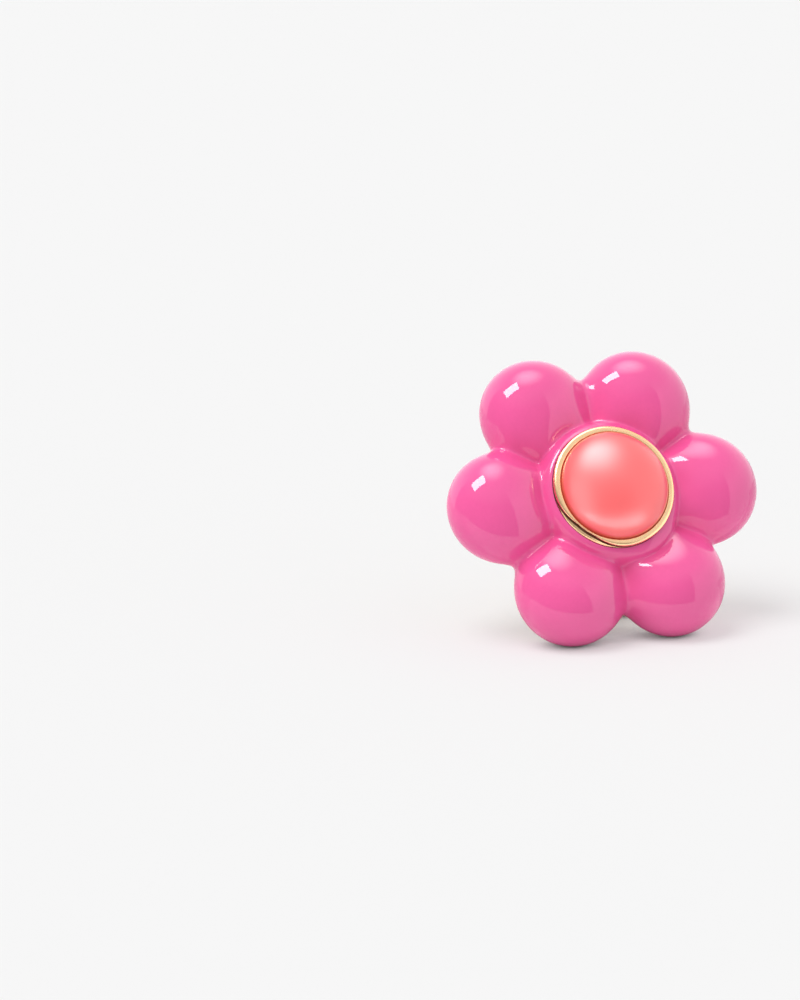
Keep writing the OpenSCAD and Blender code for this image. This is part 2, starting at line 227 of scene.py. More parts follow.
class Shape:
    """Points and faces of one piece, gathered from its parts."""

    def __init__(self):
        self.points = []
        self.faces = []
        self.tones = []
        self.count = 0

    def add(self, points, faces, tone=0):
        """Adds a part. tone is the number of its finish on the piece."""
        points = np.asarray(points, float).reshape(-1, 3)
        self.points.append(points)
        self.faces.extend((np.array(face) + self.count).tolist() for face in faces)
        self.tones.extend([tone] * len(faces))
        self.count += len(points)

    def rings(self, rings, closed=False, caps=False, tone=0):
        """Adds a skin through rings of points. caps closes its two ends."""
        rows, around = rings.shape[:2]
        faces = grid_faces(rows, around, closed).tolist()
        if caps:
            faces.append(list(range(around))[::-1])
            faces.append(list(range((rows - 1) * around, rows * around)))
        self.add(rings, faces, tone)
        return self

    def take(self, mesh):
        """Adds the points and faces of a finished mesh, which is then cleared away."""
        points = np.empty(len(mesh.vertices) * 3)
        mesh.vertices.foreach_get("co", points)
        self.add(points, [list(face.vertices) for face in mesh.polygons])
        bpy.data.meshes.remove(mesh)

    def mesh(self, name, sharp=SHARP):
        """The welded mesh, smooth but for edges sharper than the angle in degrees."""
        mesh = bpy.data.meshes.new(name)
        mesh.from_pydata(np.concatenate(self.points).tolist(), [], self.faces)
        mesh.polygons.foreach_set("material_index", self.tones)
        work = bmesh.new()
        work.from_mesh(mesh)
        bmesh.ops.remove_doubles(work, verts=work.verts, dist=WELD)
        bmesh.ops.recalc_face_normals(work, faces=work.faces)
        work.to_mesh(mesh)
        work.free()
        mesh.shade_smooth()
        mesh.set_sharp_from_angle(angle=math.radians(sharp))
        return mesh


def full_turn(count):
    """Angles of count equal steps round a full turn."""
    return 2 * np.pi * np.arange(count) / count


def on_axes(x, y, *further):
    """Points from their separate coordinates."""
    return np.stack([x, y, *further], axis=-1)


def bell(angles, at, wide):
    """1 where an angle is at, falling to 0 away from it."""
    off = np.angle(np.exp(1j * (angles - at)))
    return np.exp(-(off / wide) ** 2)


def revolved(profile, around, axis="Z"):
    """Rings of a profile of (radius, height) turned about an axis."""
    profile = np.asarray(profile, float)
    t = full_turn(around)
    r, h = profile[:, :1], profile[:, 1:]
    flat = [r * np.cos(t), r * np.sin(t), h + 0 * t]
    order = {"Z": (0, 1, 2), "X": (2, 0, 1)}[axis]
    return on_axes(*(flat[k] for k in order))


def tube_rings(path, radius, sides, closed=False):
    """Rings of a round wire along a path, turned as little as the bends allow."""
    path = np.asarray(path, float)
    count = len(path)
    radius = np.broadcast_to(radius, count)
    if closed:
        ahead = np.roll(path, -1, axis=0) - np.roll(path, 1, axis=0)
    else:
        ahead = np.gradient(path, axis=0)
    ahead = ahead / np.linalg.norm(ahead, axis=1)[:, None]
    side = np.cross(ahead[0], (0.0, 0.0, 1.0))
    nearly_upright = 0.1
    if np.linalg.norm(side) < nearly_upright:
        side = np.cross(ahead[0], (0.0, 1.0, 0.0))
    t = full_turn(sides)
    rings = []
    for k in range(count):
        side = side - ahead[k] * (side @ ahead[k])
        side = side / np.linalg.norm(side)
        up = np.cross(ahead[k], side)
        round_it = np.outer(np.cos(t), side) + np.outer(np.sin(t), up)
        rings.append(path[k] + radius[k] * round_it)
    return np.array(rings)


def round_ended(path, radius):
    """The path and radii of a wire whose two ends are half balls."""
    path = np.asarray(path, float)
    first = path[0] - path[1]
    last = path[-1] - path[-2]
    first = first / np.linalg.norm(first)
    last = last / np.linalg.norm(last)
    angles = np.radians(np.linspace(END_POLE, 0.0, END_STEPS))
    start = [path[0] + first * radius * math.sin(a) for a in angles]
    end = [path[-1] + last * radius * math.sin(a) for a in angles[::-1]]
    sizes = [radius * math.cos(a) for a in angles]
    radii = np.concatenate([sizes, np.full(len(path) - 2, radius), sizes[::-1]])
    return np.concatenate([start, path[1:-1], end]), radii


def curved_path(points, steps):
    """A smooth line through given points (Catmull-Rom)."""
    p = np.asarray(points, float)
    p = np.concatenate([[2 * p[0] - p[1]], p, [2 * p[-1] - p[-2]]])
    line = []
    for k in range(1, len(p) - 2):
        for t in np.arange(steps) / steps:
            line.append(0.5 * (
                2 * p[k] + (p[k + 1] - p[k - 1]) * t
                + (2 * p[k - 1] - 5 * p[k] + 4 * p[k + 1] - p[k + 2]) * t * t
                + (3 * p[k] - p[k - 1] - 3 * p[k + 1] + p[k + 2]) * t ** 3
            ))
    line.append(p[-2])
    return np.array(line)


def ripple(points, size, seed=0.0):
    """A soft uneven height between about -1 and 1 that repeats nowhere near."""
    x, y, z = (np.asarray(points)[..., k] / size for k in range(3))
    return (
        np.sin(2.1 * x + 1.3 * y + seed) * np.cos(1.7 * y - 0.9 * z + 2 * seed)
        + 0.5 * np.sin(3.9 * y + 2.3 * z - seed) * np.cos(4.3 * x + 1.1 * z + seed)
    ) / 1.5


def outward(rings):
    """Unit normals of a grid of rings, by central differences."""
    along = np.gradient(rings, axis=0)
    round_it = np.roll(rings, -1, axis=1) - np.roll(rings, 1, axis=1)
    normal = np.cross(round_it, along)
    size = np.linalg.norm(normal, axis=-1, keepdims=True)
    least = 1e-12
    return normal / np.maximum(size, least)


def finished(shape, name, body, finishes, nodes, sharp=SHARP):
    """Puts a piece in its place and on its body, with its finishes, and hides the CAD nodes it
    stands for.
    """
    mesh = shape.mesh(name, sharp)
    mesh.transform(BUILT_AT[body])
    made = add_object(name, mesh)
    for finish_name in finishes:
        made.data.materials.append(finish(finish_name))
    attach(made, body)
    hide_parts(*nodes)
    return made


# Petals


class PetalSurface:
    """The flower's outer and inner skins, as rings of points round its middle."""

    VALLEY_ROUND = 0.02
    COLLAR_FOOT = 2.0 * MM
    COLLAR_STEP = 0.32 * MM
    COLLAR_BLEND = 0.80 * MM
    COLLAR_WALL = 1.0 * MM
    # how far from the bezel the enamel's height still differs
    BY_BEZEL = 1.0 * MM
    # how the poured enamel differs round the bezel: direction and width in degrees,
    # then the change in height in mm
    AGAINST_BEZEL = ((228.0, 30.0, 0.20), (135.0, 45.0, 0.28), (300.0, 28.0, 0.22))
    # where the collar spreads over a petal and ends in a crease: direction and width
    # in degrees, how far it spreads, how much of its soft blend is lost and how much
    # steeper the petal falls to it
    SPREAD = (300.0, 26.0, 0.75 * MM, 0.8, 0.06)
    INWARD_EASE = 1.2 * MM
    RUN_OUT = 0.01
    # how evenly the rings are spaced, and how late they bend to the petals' crest
    CROWN_SPACING = 1.2
    CREST_BEND = 4
    TIP_STEPS = 28
    VALLEY_STEPS = 12
    SEAT_GAP = 0.02 * MM

    def __init__(self, petals, back):
        self.p = petals
        self.radial = half_width("petal_shell") - petals.ring_r
        self.outline = LobedOutline(back, self.TIP_STEPS, self.VALLEY_STEPS)
        self.hole_r = half_width("bezel_cup") + self.SEAT_GAP
        a = np.radians(90.0) * np.arange(self.TIP_STEPS + 1) / self.TIP_STEPS
        ball = np.arctan2(petals.across * np.sin(a), petals.ring_r + self.radial * np.cos(a))
        valley = np.linspace(ball[-1], SECTOR / 2, self.VALLEY_STEPS + 1)[1:]
        half_azimuth = np.concatenate([ball, valley])
        step, side, petal = self.outline.spokes
        self.t = petal * SECTOR + side * half_azimuth[step]
        self.foot_z = back.thick + self.SEAT_GAP
        self.foot_angle = math.asin((self.foot_z - petals.mid_z) / petals.high)
        self.bent = self.petal_angle(self.t)
        self.crest = petals.ring_r * np.cos(self.bent)
        self.valley_crest = petals.ring_r * math.cos(self.petal_angle(SECTOR / 2))
        self.half = self.section_half(self.bent)
        self.level = sum(
            by * MM * self.near(at, wide) for at, wide, by in self.AGAINST_BEZEL)
        at, wide, further, lost, steeper = self.SPREAD
        self.collar_r = petals.collar_r + further * self.near(at, wide)
        self.blend = self.COLLAR_BLEND * (1 - lost * self.near(at, wide))
        self.inward = petals.inward * (1 - steeper * self.near(at, wide))

    def near(self, at, wide):
        """1 in a direction from the middle, falling to 0 away from it; in degrees."""
        return bell(self.t, math.radians(at), math.radians(wide))

    def petal_angle(self, t):
        """Angle from the nearest petal's middle, rounded off at the valleys."""
        share = self.VALLEY_ROUND + (1 - self.VALLEY_ROUND) * np.cos(PETALS * t)
        return np.arccos(np.minimum(1, share)) / PETALS

    def across_room(self, a):
        """What a petal's round outline leaves of its squared half width."""
        return self.p.across ** 2 - (self.p.ring_r * np.sin(a)) ** 2

    def soft_room(self, a):
        """The same, eased so that the web between two petals keeps its width."""
        valley_room = self.across_room(SECTOR / 2)
        soft = ((2 * self.p.web_half ** 2 - valley_room) ** 2 - valley_room ** 2) / 4
        room = self.across_room(a)
        return (room + np.sqrt(room ** 2 + 4 * soft)) / 2

    def section_half(self, a):
        """Half width of the petal's round section, less at the valleys."""
        excess = self.soft_room(0.0) - self.p.across ** 2
        return np.sqrt(self.soft_room(a) - excess * (1 + np.cos(PETALS * a)) / 2)

    def collar_height(self, r):
        """A rounded step that falls from the bezel to between the petals."""
        step = self.COLLAR_STEP
        loss = 1 + np.exp((self.hole_r - self.collar_r) / step)
        fall = 1 + np.exp((r - self.collar_r) / step)
        return self.COLLAR_FOOT + (self.p.collar_z - self.COLLAR_FOOT) * loss / fall

    def section(self, inset):
        """Half the width and height of the section, drawn in by inset."""
        half = self.half - inset
        return half * self.radial / self.p.across, half * self.p.high / self.p.across

    def crown_ring(self, share, inset, drop):
        """Ring between the hole (share 0) and the petals' crest (share 1)."""
        wide, high = self.section(inset)
        r = (self.hole_r + (self.valley_crest - self.hole_r) * share
             + (self.crest - self.valley_crest) * share ** self.CREST_BEND)
        run = self.crest - r
        inward = self.inward - inset
        wide = wide + (inward - wide) * (1 - np.exp(-run / self.INWARD_EASE))
        v = 1 - (run / wide) ** 2
        whole = 1 + math.sqrt(1 + self.RUN_OUT)
        soft = np.sqrt((v + np.sqrt(v * v + self.RUN_OUT)) / whole)
        petal = self.p.mid_z + high * soft
        by_bezel = np.exp(-((r - self.hole_r) / self.BY_BEZEL) ** 2)
        collar = self.collar_height(r) - drop + self.level * by_bezel
        blend = self.blend * (1 - share ** 2)
        z = (petal + collar + np.sqrt((petal - collar) ** 2 + blend ** 2)) / 2
        return on_axes(r * np.cos(self.t), r * np.sin(self.t), z)

    def side_ring(self, angle, inset):
        """Ring at an angle up the outer side of the balls."""
        wide, high = self.section(inset)
        r = self.crest + wide * math.cos(angle)
        z = self.p.mid_z + high * math.sin(angle)
        return on_axes(r * np.cos(self.t), r * np.sin(self.t), z)

    def under_ring(self, angle, inset):
        """Ring below the balls' widest line, drawing in to the frame's outline."""
        wide, _ = self.section(inset)
        r = self.crest + wide
        foot = math.cos(self.foot_angle)
        share = (math.cos(angle) - foot) / (1 - foot)
        low = self.outline.points(inset)
        ball = on_axes(r * np.cos(self.t), r * np.sin(self.t))
        flat = low + (ball - low) * share
        z = np.full(len(self.t), self.p.mid_z + self.p.high * math.sin(angle))
        return np.column_stack([flat, z])

    def skin(self, inset, drop, crown, side, under):
        """All rings of one skin, from the hole over the petals down to the foot."""
        quarter = math.pi / 2
        return np.array(
            [self.crown_ring((k / crown) ** self.CROWN_SPACING, inset, drop)
             for k in range(crown + 1)]
            + [self.side_ring(quarter * k / side, inset) for k in range(side - 1, -1, -1)]
            + [self.under_ring(self.foot_angle * k / under, inset) for k in range(1, under + 1)]
        )


class LobedOutline:
    """Outline of the frame: round tips and hollow valleys that meet in a tangent."""

    def __init__(self, back, tip_steps, valley_steps):
        tip_r = half_width("back_frame")
        self.lobe_half = back.lobe_half
        self.lobe_c = tip_r - back.lobe_half
        half = SECTOR / 2
        self.valley_arc = (
            self.lobe_c ** 2 + back.valley_r ** 2 - back.lobe_half ** 2
            - 2 * self.lobe_c * back.valley_r * math.cos(half)
        ) / (2 * (back.lobe_half + self.lobe_c * math.cos(half) - back.valley_r))
        reach = back.valley_r + self.valley_arc
        self.valley_c = np.array([math.cos(half), math.sin(half)]) * reach
        self.sweep = math.atan2(self.valley_c[1], self.valley_c[0] - self.lobe_c)
        self.tip = self.sweep * np.arange(tip_steps + 1) / tip_steps
        self.valley = np.linspace(self.sweep + math.pi, half + math.pi, valley_steps + 1)[1:]
        count = tip_steps + valley_steps
        step = np.concatenate([np.arange(count), np.arange(count, 0, -1)])
        side = np.repeat([1, -1], count)
        petal = np.repeat([0, 1], count)
        turns = np.repeat(np.arange(PETALS), 2 * count)
        # step from the tip, side of the lobe and number of the petal, for each spoke
        self.spokes = (np.tile(step, PETALS), np.tile(side, PETALS),
                       np.tile(petal, PETALS) + turns)

    def points(self, inset):
        """The outline drawn in by inset, one point for each spoke."""
        tip = (self.lobe_half - inset) * on_axes(np.cos(self.tip), np.sin(self.tip))
        tip = tip + [self.lobe_c, 0]
        hollow = on_axes(np.cos(self.valley), np.sin(self.valley))
        hollow = self.valley_c + (self.valley_arc + inset) * hollow
        half = np.concatenate([tip, hollow])
        step, side, petal = self.spokes
        x, y = half[step, 0], half[step, 1] * side
        c, s = np.cos(petal * SECTOR), np.sin(petal * SECTOR)
        return on_axes(x * c - y * s, x * s + y * c)


class EARRING_OT_petals(bpy.types.Operator):
    """Build the hollow six-petal shell, enamel outside and bare gold inside, the gold darkened
    as painted shade
    """
    bl_idname = "earring.petals"
    bl_label = "Petals"

    # rings over the crown, down the side and under it, outside and inside
    OUTER = (44, 18, 14)
    INNER = (14, 8, 5)
    # poured enamel is never quite even: height and width of its waves
    UNEVEN = 0.008 * MM
    WAVES = 2.6 * MM
    # the valley where most enamel pooled, how far it spread, how many rings from each
    # end it spares, how strongly and how often it is smoothed
    POOL_AT = math.radians(90.0)
    POOL_WIDE = math.radians(5.0)
    POOL_ENDS = (12, 10)
    POOL_PULL = 0.5
    POOL_PASSES = 90
    SHARP_FROM = 60.0

    def pooled(self, rings, t):
        """The rings with the uppermost valley filled to a rounder hollow."""
        first, last = self.POOL_ENDS
        rows = np.ones(len(rings))
        rows[:first] = np.linspace(0.0, 1.0, first)
        rows[-last:] = np.linspace(1.0, 0.0, last)
        pull = self.POOL_PULL * np.outer(rows, bell(t, self.POOL_AT, self.POOL_WIDE))
        for _ in range(self.POOL_PASSES):
            middle = (np.roll(rings, 1, axis=1) + np.roll(rings, -1, axis=1)) / 2
            rings = rings + pull[..., None] * (middle - rings)
        return rings

    def execute(self, context):
        petals = context.scene.earring_petals
        surface = PetalSurface(petals, context.scene.earring_back)
        outer = surface.skin(0.0, 0.0, *self.OUTER)
        poured = self.UNEVEN * ripple(outer, self.WAVES)
        poured[0] = poured[-1] = 0.0
        outer = outer + outward(outer) * poured[..., None]
        outer = self.pooled(outer, surface.t)
        inner = surface.skin(petals.wall, surface.COLLAR_WALL, *self.INNER)[::-1]
        shape = Shape()
        shape.rings(outer)
        # the inner skin and the edges that join it take gold darkened as painted shade
        for rings in (inner, [outer[-1], inner[0]], [inner[-1], outer[0]]):
            shape.rings(np.array(rings), tone=1)
        finished(shape, "enamel_petals", "flower", ["enamel", "dull_gold"],
                 ["petal_shell"], self.SHARP_FROM)
        return {"FINISHED"}


# Stone and bezel

# the pieces that the small softbox doesn't light, and those the sheets of light are for
SCREENED = "screened_from_softbox"
STONE_ONLY = "lit_by_sheets"


def named_collection(name):
    """The collection of that name, made when it is first asked for."""
    return bpy.data.collections.get(name) or bpy.data.collections.new(name)


def arc(centre, radius, start, end, steps):
    """Points (radius, height) of a round stretch; angles in degrees."""
    a = np.radians(np.linspace(start, end, steps + 1))
    return [(centre[0] + radius * math.cos(t), centre[1] + radius * math.sin(t)) for t in a]


class EARRING_OT_bezel(bpy.types.Operator):
    """Build the gold ring with its rounded edge and its cup"""
    bl_idname = "earring.bezel"
    bl_label = "Bezel"

    AROUND = 160
    CUP_BOTTOM = 4.60 * MM
    CUP_FLOOR = 5.10 * MM
    FOOT = 0.12 * MM
    LIP_INNER = 0.12 * MM
    # steps round the foot, the edge and the lip's inner side
    FOOT_STEPS, EDGE_STEPS, INNER_STEPS = 4, 12, 8
    # the edge was rubbed over the stone by hand: height and width of the unevenness
    RUBBED = 0.012 * MM
    RUBBED_WIDE = 2.0 * MM
    # the ring's outer side as points (inwards, below the top) in mm, up to and along the
    # line scored in it, then the round of its edge; and the same where the line runs up
    # over the shoulder, with that place's direction, width and strength
    SHOULDER = ((0.0, 0.90), (0.0, 0.82), (0.0, 0.74))
    LINE = ((0.0, 0.66), (0.07, 0.59), (0.07, 0.49), (0.0, 0.42))
    LIP_ROUND = 0.30
    HIGH_SHOULDER = ((0.0, 0.66), (0.06, 0.52), (0.17, 0.43))
    HIGH_LINE = ((0.30, 0.36), (0.33, 0.32), (0.41, 0.12), (0.44, 0.06))
    HIGH_ROUND = 0.06
    HIGH_AT = (math.radians(228.0), math.radians(27.0))
    HIGH_MOST = 1.2
    HIGH_LEAST = 0.05

    def outline(self, sizes, shoulder, line, edge):
        """The ring's section from the middle of its floor round to the stone's seat."""
        r, top = half_width("bezel_cup"), sizes.bezel_top
        foot, inner = self.FOOT, self.LIP_INNER
        seat = r - sizes.bezel_wall
        side = [(r - inwards * MM, top - below * MM) for inwards, below in shoulder + line]
        round_at = side[-1][0] - edge * MM, top - edge * MM
        return np.array(
            [(0.0, self.CUP_BOTTOM)]
            + arc((r - foot, self.CUP_BOTTOM + foot), foot, -90, 0, self.FOOT_STEPS)
            + side
            + arc(round_at, edge * MM, 0, 90, self.EDGE_STEPS)
            + arc((seat + inner, top - inner), inner, 90, 180, self.INNER_STEPS)
            + [(seat, self.CUP_FLOOR), (0.0, self.CUP_FLOOR)]
        )

    def execute(self, context):
        sizes = context.scene.earring_stone
        plain = self.outline(sizes, self.SHOULDER, self.LINE, self.LIP_ROUND)
        high = self.outline(sizes, self.HIGH_SHOULDER, self.HIGH_LINE, self.HIGH_ROUND)
        share = self.HIGH_MOST * bell(full_turn(self.AROUND), *self.HIGH_AT) - self.HIGH_LEAST
        share = np.clip(share, 0, 1)[None, :, None]
        rings = revolved(plain, self.AROUND) * (1 - share)
        rings = rings + revolved(high, self.AROUND) * share
        edge = self.LIP_ROUND * MM
        rubbed = np.clip((rings[..., 2] - sizes.bezel_top + 2 * edge) / edge, 0, 1)
        swell = self.RUBBED * ripple(rings, self.RUBBED_WIDE, 1.0) * rubbed
        rings[..., 2] += swell - self.RUBBED * rubbed
        first = 2 + self.FOOT_STEPS + len(self.SHOULDER)
        last = first + len(self.LINE) - 1
        shape = Shape()
        shape.rings(rings[:first + 1])
        # the scored line takes gold painted dark, as painted shade in the groove
        shape.rings(rings[first:last + 1], tone=1)
        shape.rings(rings[last:])
        finished(shape, "gold_bezel", "flower", ["rubbed_gold", "scored_gold"],
                 ["bezel_cup"])
        return {"FINISHED"}


class EARRING_OT_stone(bpy.types.Operator):
    """Build the domed stone"""
    bl_idname = "earring.stone"
    bl_label = "Stone"

    BASE = 5.12 * MM
    # the girdle nearly touches the bezel
    SNUG = 0.035 * MM
    AROUND = 144
    RISE = 41

    def execute(self, context):
        sizes = context.scene.earring_stone
        r = half_width("coral_stone") + self.SNUG
        girdle = sizes.bezel_top - sizes.girdle_drop
        a = np.radians(np.linspace(0.0, 90.0, self.RISE))
        dome = on_axes(r * np.cos(a), girdle + sizes.dome_high * np.sin(a))
        dome[-1, 0] = 0.0
        profile = np.concatenate([[(0.0, self.BASE), (r, self.BASE)], dome])
        shape = Shape().rings(revolved(profile, self.AROUND))
        dome = finished(shape, "stone_dome", "flower", ["satin_stone"],
                        ["coral_stone"])
        named_collection(STONE_ONLY).objects.link(dome)
        screened = named_collection(SCREENED)
        screened.objects.link(dome)
        screened.collection_objects[-1].light_linking.link_state = "EXCLUDE"
        return {"FINISHED"}


# Gold back


def modified(mesh, name, *changes):
    """The mesh after modifiers, each given as its type and its settings."""
    made = add_object(name, mesh)
    for kind, settings in changes:
        change = made.modifiers.new(kind.lower(), kind)
        for key, value in settings.items():
            setattr(change, key, value)
    seen = made.evaluated_get(bpy.context.evaluated_depsgraph_get())
    result = bpy.data.meshes.new_from_object(seen)
    bpy.data.objects.remove(made)
    return result


def thickened(mesh, name, thick, offset, edge, segments):
    """A sheet made thick, to the side that offset says, with its edges softened."""
    return modified(mesh, name, (
        "SOLIDIFY", {"thickness": thick, "offset": offset},
    ), (
        "BEVEL", {"width": edge, "segments": segments, "limit_method": "ANGLE",
                  "angle_limit": math.radians(50)},
    ))


def cut_sheet(name, loops, thick, edge):
    """A flat sheet up from z = 0 cut from an outline and holes, its edges softened."""
    curve = bpy.data.curves.new(name, "CURVE")
    curve.dimensions = "2D"
    curve.fill_mode = "BOTH"
    for loop in loops:
        spline = curve.splines.new("POLY")
        spline.points.add(len(loop) - 1)
        flat = np.column_stack([loop / MM, np.zeros(len(loop)), np.ones(len(loop))])
        spline.points.foreach_set("co", flat.ravel())
        spline.use_cyclic_u = True
    curve.extrude = (thick / 2 - edge) / MM
    curve.bevel_depth = edge / MM
    curve.bevel_resolution = 2
    curve.offset = -edge / MM
    mesh = modified(curve, name)
    bpy.data.curves.remove(curve)
    mesh.transform(Matrix.Translation((0, 0, thick / 2)) @ Matrix.Scale(MM, 4))
    return mesh


def spun(points, angle, x=0.0, y=0.0):
    """Flat points moved by x and y and then turned about the middle."""
    p = np.asarray(points) + [x, y]
    c, s = math.cos(angle), math.sin(angle)
    return on_axes(p[:, 0] * c - p[:, 1] * s, p[:, 0] * s + p[:, 1] * c)


def drop(inner, outer, half):
    """Teardrop from radius inner to radius outer, round at its outer end."""
    count, widest = 22, 1.3
    t = 2 * np.pi * (np.arange(count) + 0.5) / count
    x = inner + (outer - inner) * (1 - np.cos(t)) / 2
    return on_axes(x, widest * half * np.sin(t) * np.sin(t / 2) ** 2)


def ellipse(x, y, count=20):
    """Ellipse of half widths x and y."""
    t = full_turn(count)
    return on_axes(x * np.cos(t), y * np.sin(t))


def soft_triangle(r):
    """Triangle with its corners rounded over a share of its sides."""
    corners = [spun([(r, 0.0)], turn)[0] for turn in (0.0, 2 * SECTOR, -2 * SECTOR)]
    cut = 0.22
    points = []
    for k in range(3):
        before, here, after = (corners[(k + j) % 3] for j in (-1, 0, 1))
        start, end = here + cut * (before - here), here + cut * (after - here)
        for t in (0.0, 0.33, 0.67, 1.0):
            points.append((1 - t) ** 2 * start + 2 * t * (1 - t) * here + t * t * end)
    return np.array(points)


# steps round a lobe's tip and along a valley, for the rim and the plate
RIM_STEPS = (30, 14)


class PiercedWork:
    """The plate's edge and its holes, as flat loops of points."""

    ROSETTE_R = 5.50 * MM
    DROPS = 8
    # teardrops of the rosette in the middle and of the six round it, all in mm:
    # inner radius, outer radius and half width
    MIDDLE_DROP = (0.60, 2.48, 0.62)
    LOBE_DROP = (0.46, 2.00, 0.49)
    # soft triangles in pairs on each lobe: size, turn of both, turn apart, and how far
    # out and aside they are; then ellipses on its axis: half widths and how far out
    LOBE_PAIRS = ((0.46, 0.0, 25.0, 8.0, 0.62), (0.42, 180.0, -20.0, 10.1, 0.52))
    LOBE_SINGLES = ((0.30, 0.62, 9.1), (0.28, 0.48, 11.1))
    # soft triangles in each valley: size and how far out, the second not where the
    # strap and the post are
    VALLEY_INNER = (0.42, 3.35)
    VALLEY_OUTER = (0.55, 5.65)
    TAKEN = (1, 4)
    INTO_RIM = 0.26 * MM
    CLEAR = 0.03 * MM

    def __init__(self, back):
        self.back = back
        turns = (np.arange(self.DROPS) + 0.5) * (2 * math.pi / self.DROPS)
        middle, lobe = (drop(*(size * MM for size in sizes))
                        for sizes in (self.MIDDLE_DROP, self.LOBE_DROP))
        self.middle_drops = [spun(middle, turn) for turn in turns]
        self.lobe_drops = [spun(spun(lobe, turn), k * SECTOR, self.ROSETTE_R)
                           for k in range(PETALS) for turn in turns]
        self.small = []
        for k in range(PETALS):
            self.add_small(k)

    def add_small(self, k):
        """The small holes on lobe k and in the valley after it."""
        axis = k * SECTOR
        for side in (-1, 1):
            for size, turn, apart, out, aside in self.LOBE_PAIRS:
                hole = spun(soft_triangle(size * MM), math.radians(turn + side * apart))
                self.small.append(spun(hole, axis, out * MM, side * aside * MM))
        for x, y, out in self.LOBE_SINGLES:
            self.small.append(spun(ellipse(x * MM, y * MM), axis, out * MM))
        valley = axis + SECTOR / 2
        size, out = self.VALLEY_INNER
        self.small.append(spun(soft_triangle(size * MM), valley, out * MM))
        if k not in self.TAKEN:
            size, out = self.VALLEY_OUTER
            self.small.append(spun(-soft_triangle(size * MM), valley, out * MM))

    def edge(self):
        """The plate's outline, with a bridge to the rim at the tip of each lobe."""
        back = self.back
        outline = LobedOutline(back, *RIM_STEPS)
        inset = back.rim_w + back.slot_w
        points = outline.points(inset)
        block = len(points) // PETALS
        half = back.bridge_w / 2
        start = outline.lobe_c + math.sqrt((back.lobe_half - inset) ** 2 - half ** 2)
        reach = half_width("back_frame") - back.rim_w + self.INTO_RIM
        loop = []
        for k in range(PETALS):
            lobe = np.take(points, range(k * block - block // 2, k * block + block // 2),
                           axis=0, mode="wrap")
            lobe = spun(lobe, -k * SECTOR)
            kept = (lobe[:, 0] < outline.lobe_c) | (abs(lobe[:, 1]) > half + self.CLEAR)
            bridge = [(start, -half), (reach, -half), (reach, half), (start, half)]
            loop += [lobe[kept & (lobe[:, 1] < 0)], bridge, lobe[kept & (lobe[:, 1] > 0)]]
            loop[-3:] = [spun(part, k * SECTOR) for part in loop[-3:]]
        return np.concatenate(loop)


def rib_rings(loop, away, radius, z):
    """A closed rib of round section that runs round a flat loop, away from its edge."""
    ahead = np.roll(loop, -1, axis=0) - np.roll(loop, 1, axis=0)
    out = on_axes(ahead[:, 1], -ahead[:, 0])
    out = out / np.linalg.norm(out, axis=1)[:, None]
    path = np.column_stack([loop + out * away, np.full(len(loop), z)])
    return tube_rings(path, radius, 8, closed=True)


class EARRING_OT_back_rim(bpy.types.Operator):
    """Build the polished lobed rim of the back"""
    bl_idname = "earring.back_rim"
    bl_label = "Back rim"

    # how deep its outer face is rounded, how squarely, and in how many rows
    ROUNDED = 0.36 * MM
    SQUARENESS = 2.3
    ROWS = 19
    WORN = 0.012 * MM
    WORN_WIDE = 3.0 * MM

    def execute(self, context):
        back = context.scene.earring_back
        outline = LobedOutline(back, *RIM_STEPS)
        rows = []
        for share in np.linspace(0.0, 1.0, self.ROWS):
            edge = abs(2 * share - 1) ** self.SQUARENESS
            z = self.ROUNDED * (1 - (1 - edge) ** (1 / self.SQUARENESS))
            rows.append((share * back.rim_w, z))
        rows += [(back.rim_w, back.thick), (0.0, back.thick)]
        flats = [outline.points(inset) for inset, _ in rows]
        rings = np.array([np.column_stack([flat, np.full(len(flat), z)])
                          for flat, (_, z) in zip(flats, rows)])
        face = slice(1, self.ROWS - 1)
        rings[face, :, 2] += self.WORN * ripple(rings[face], self.WORN_WIDE, 2.0)
        finished(Shape().rings(rings, closed=True), "back_rim", "flower",
                 ["polished_gold"], ["back_frame"])
        return {"FINISHED"}


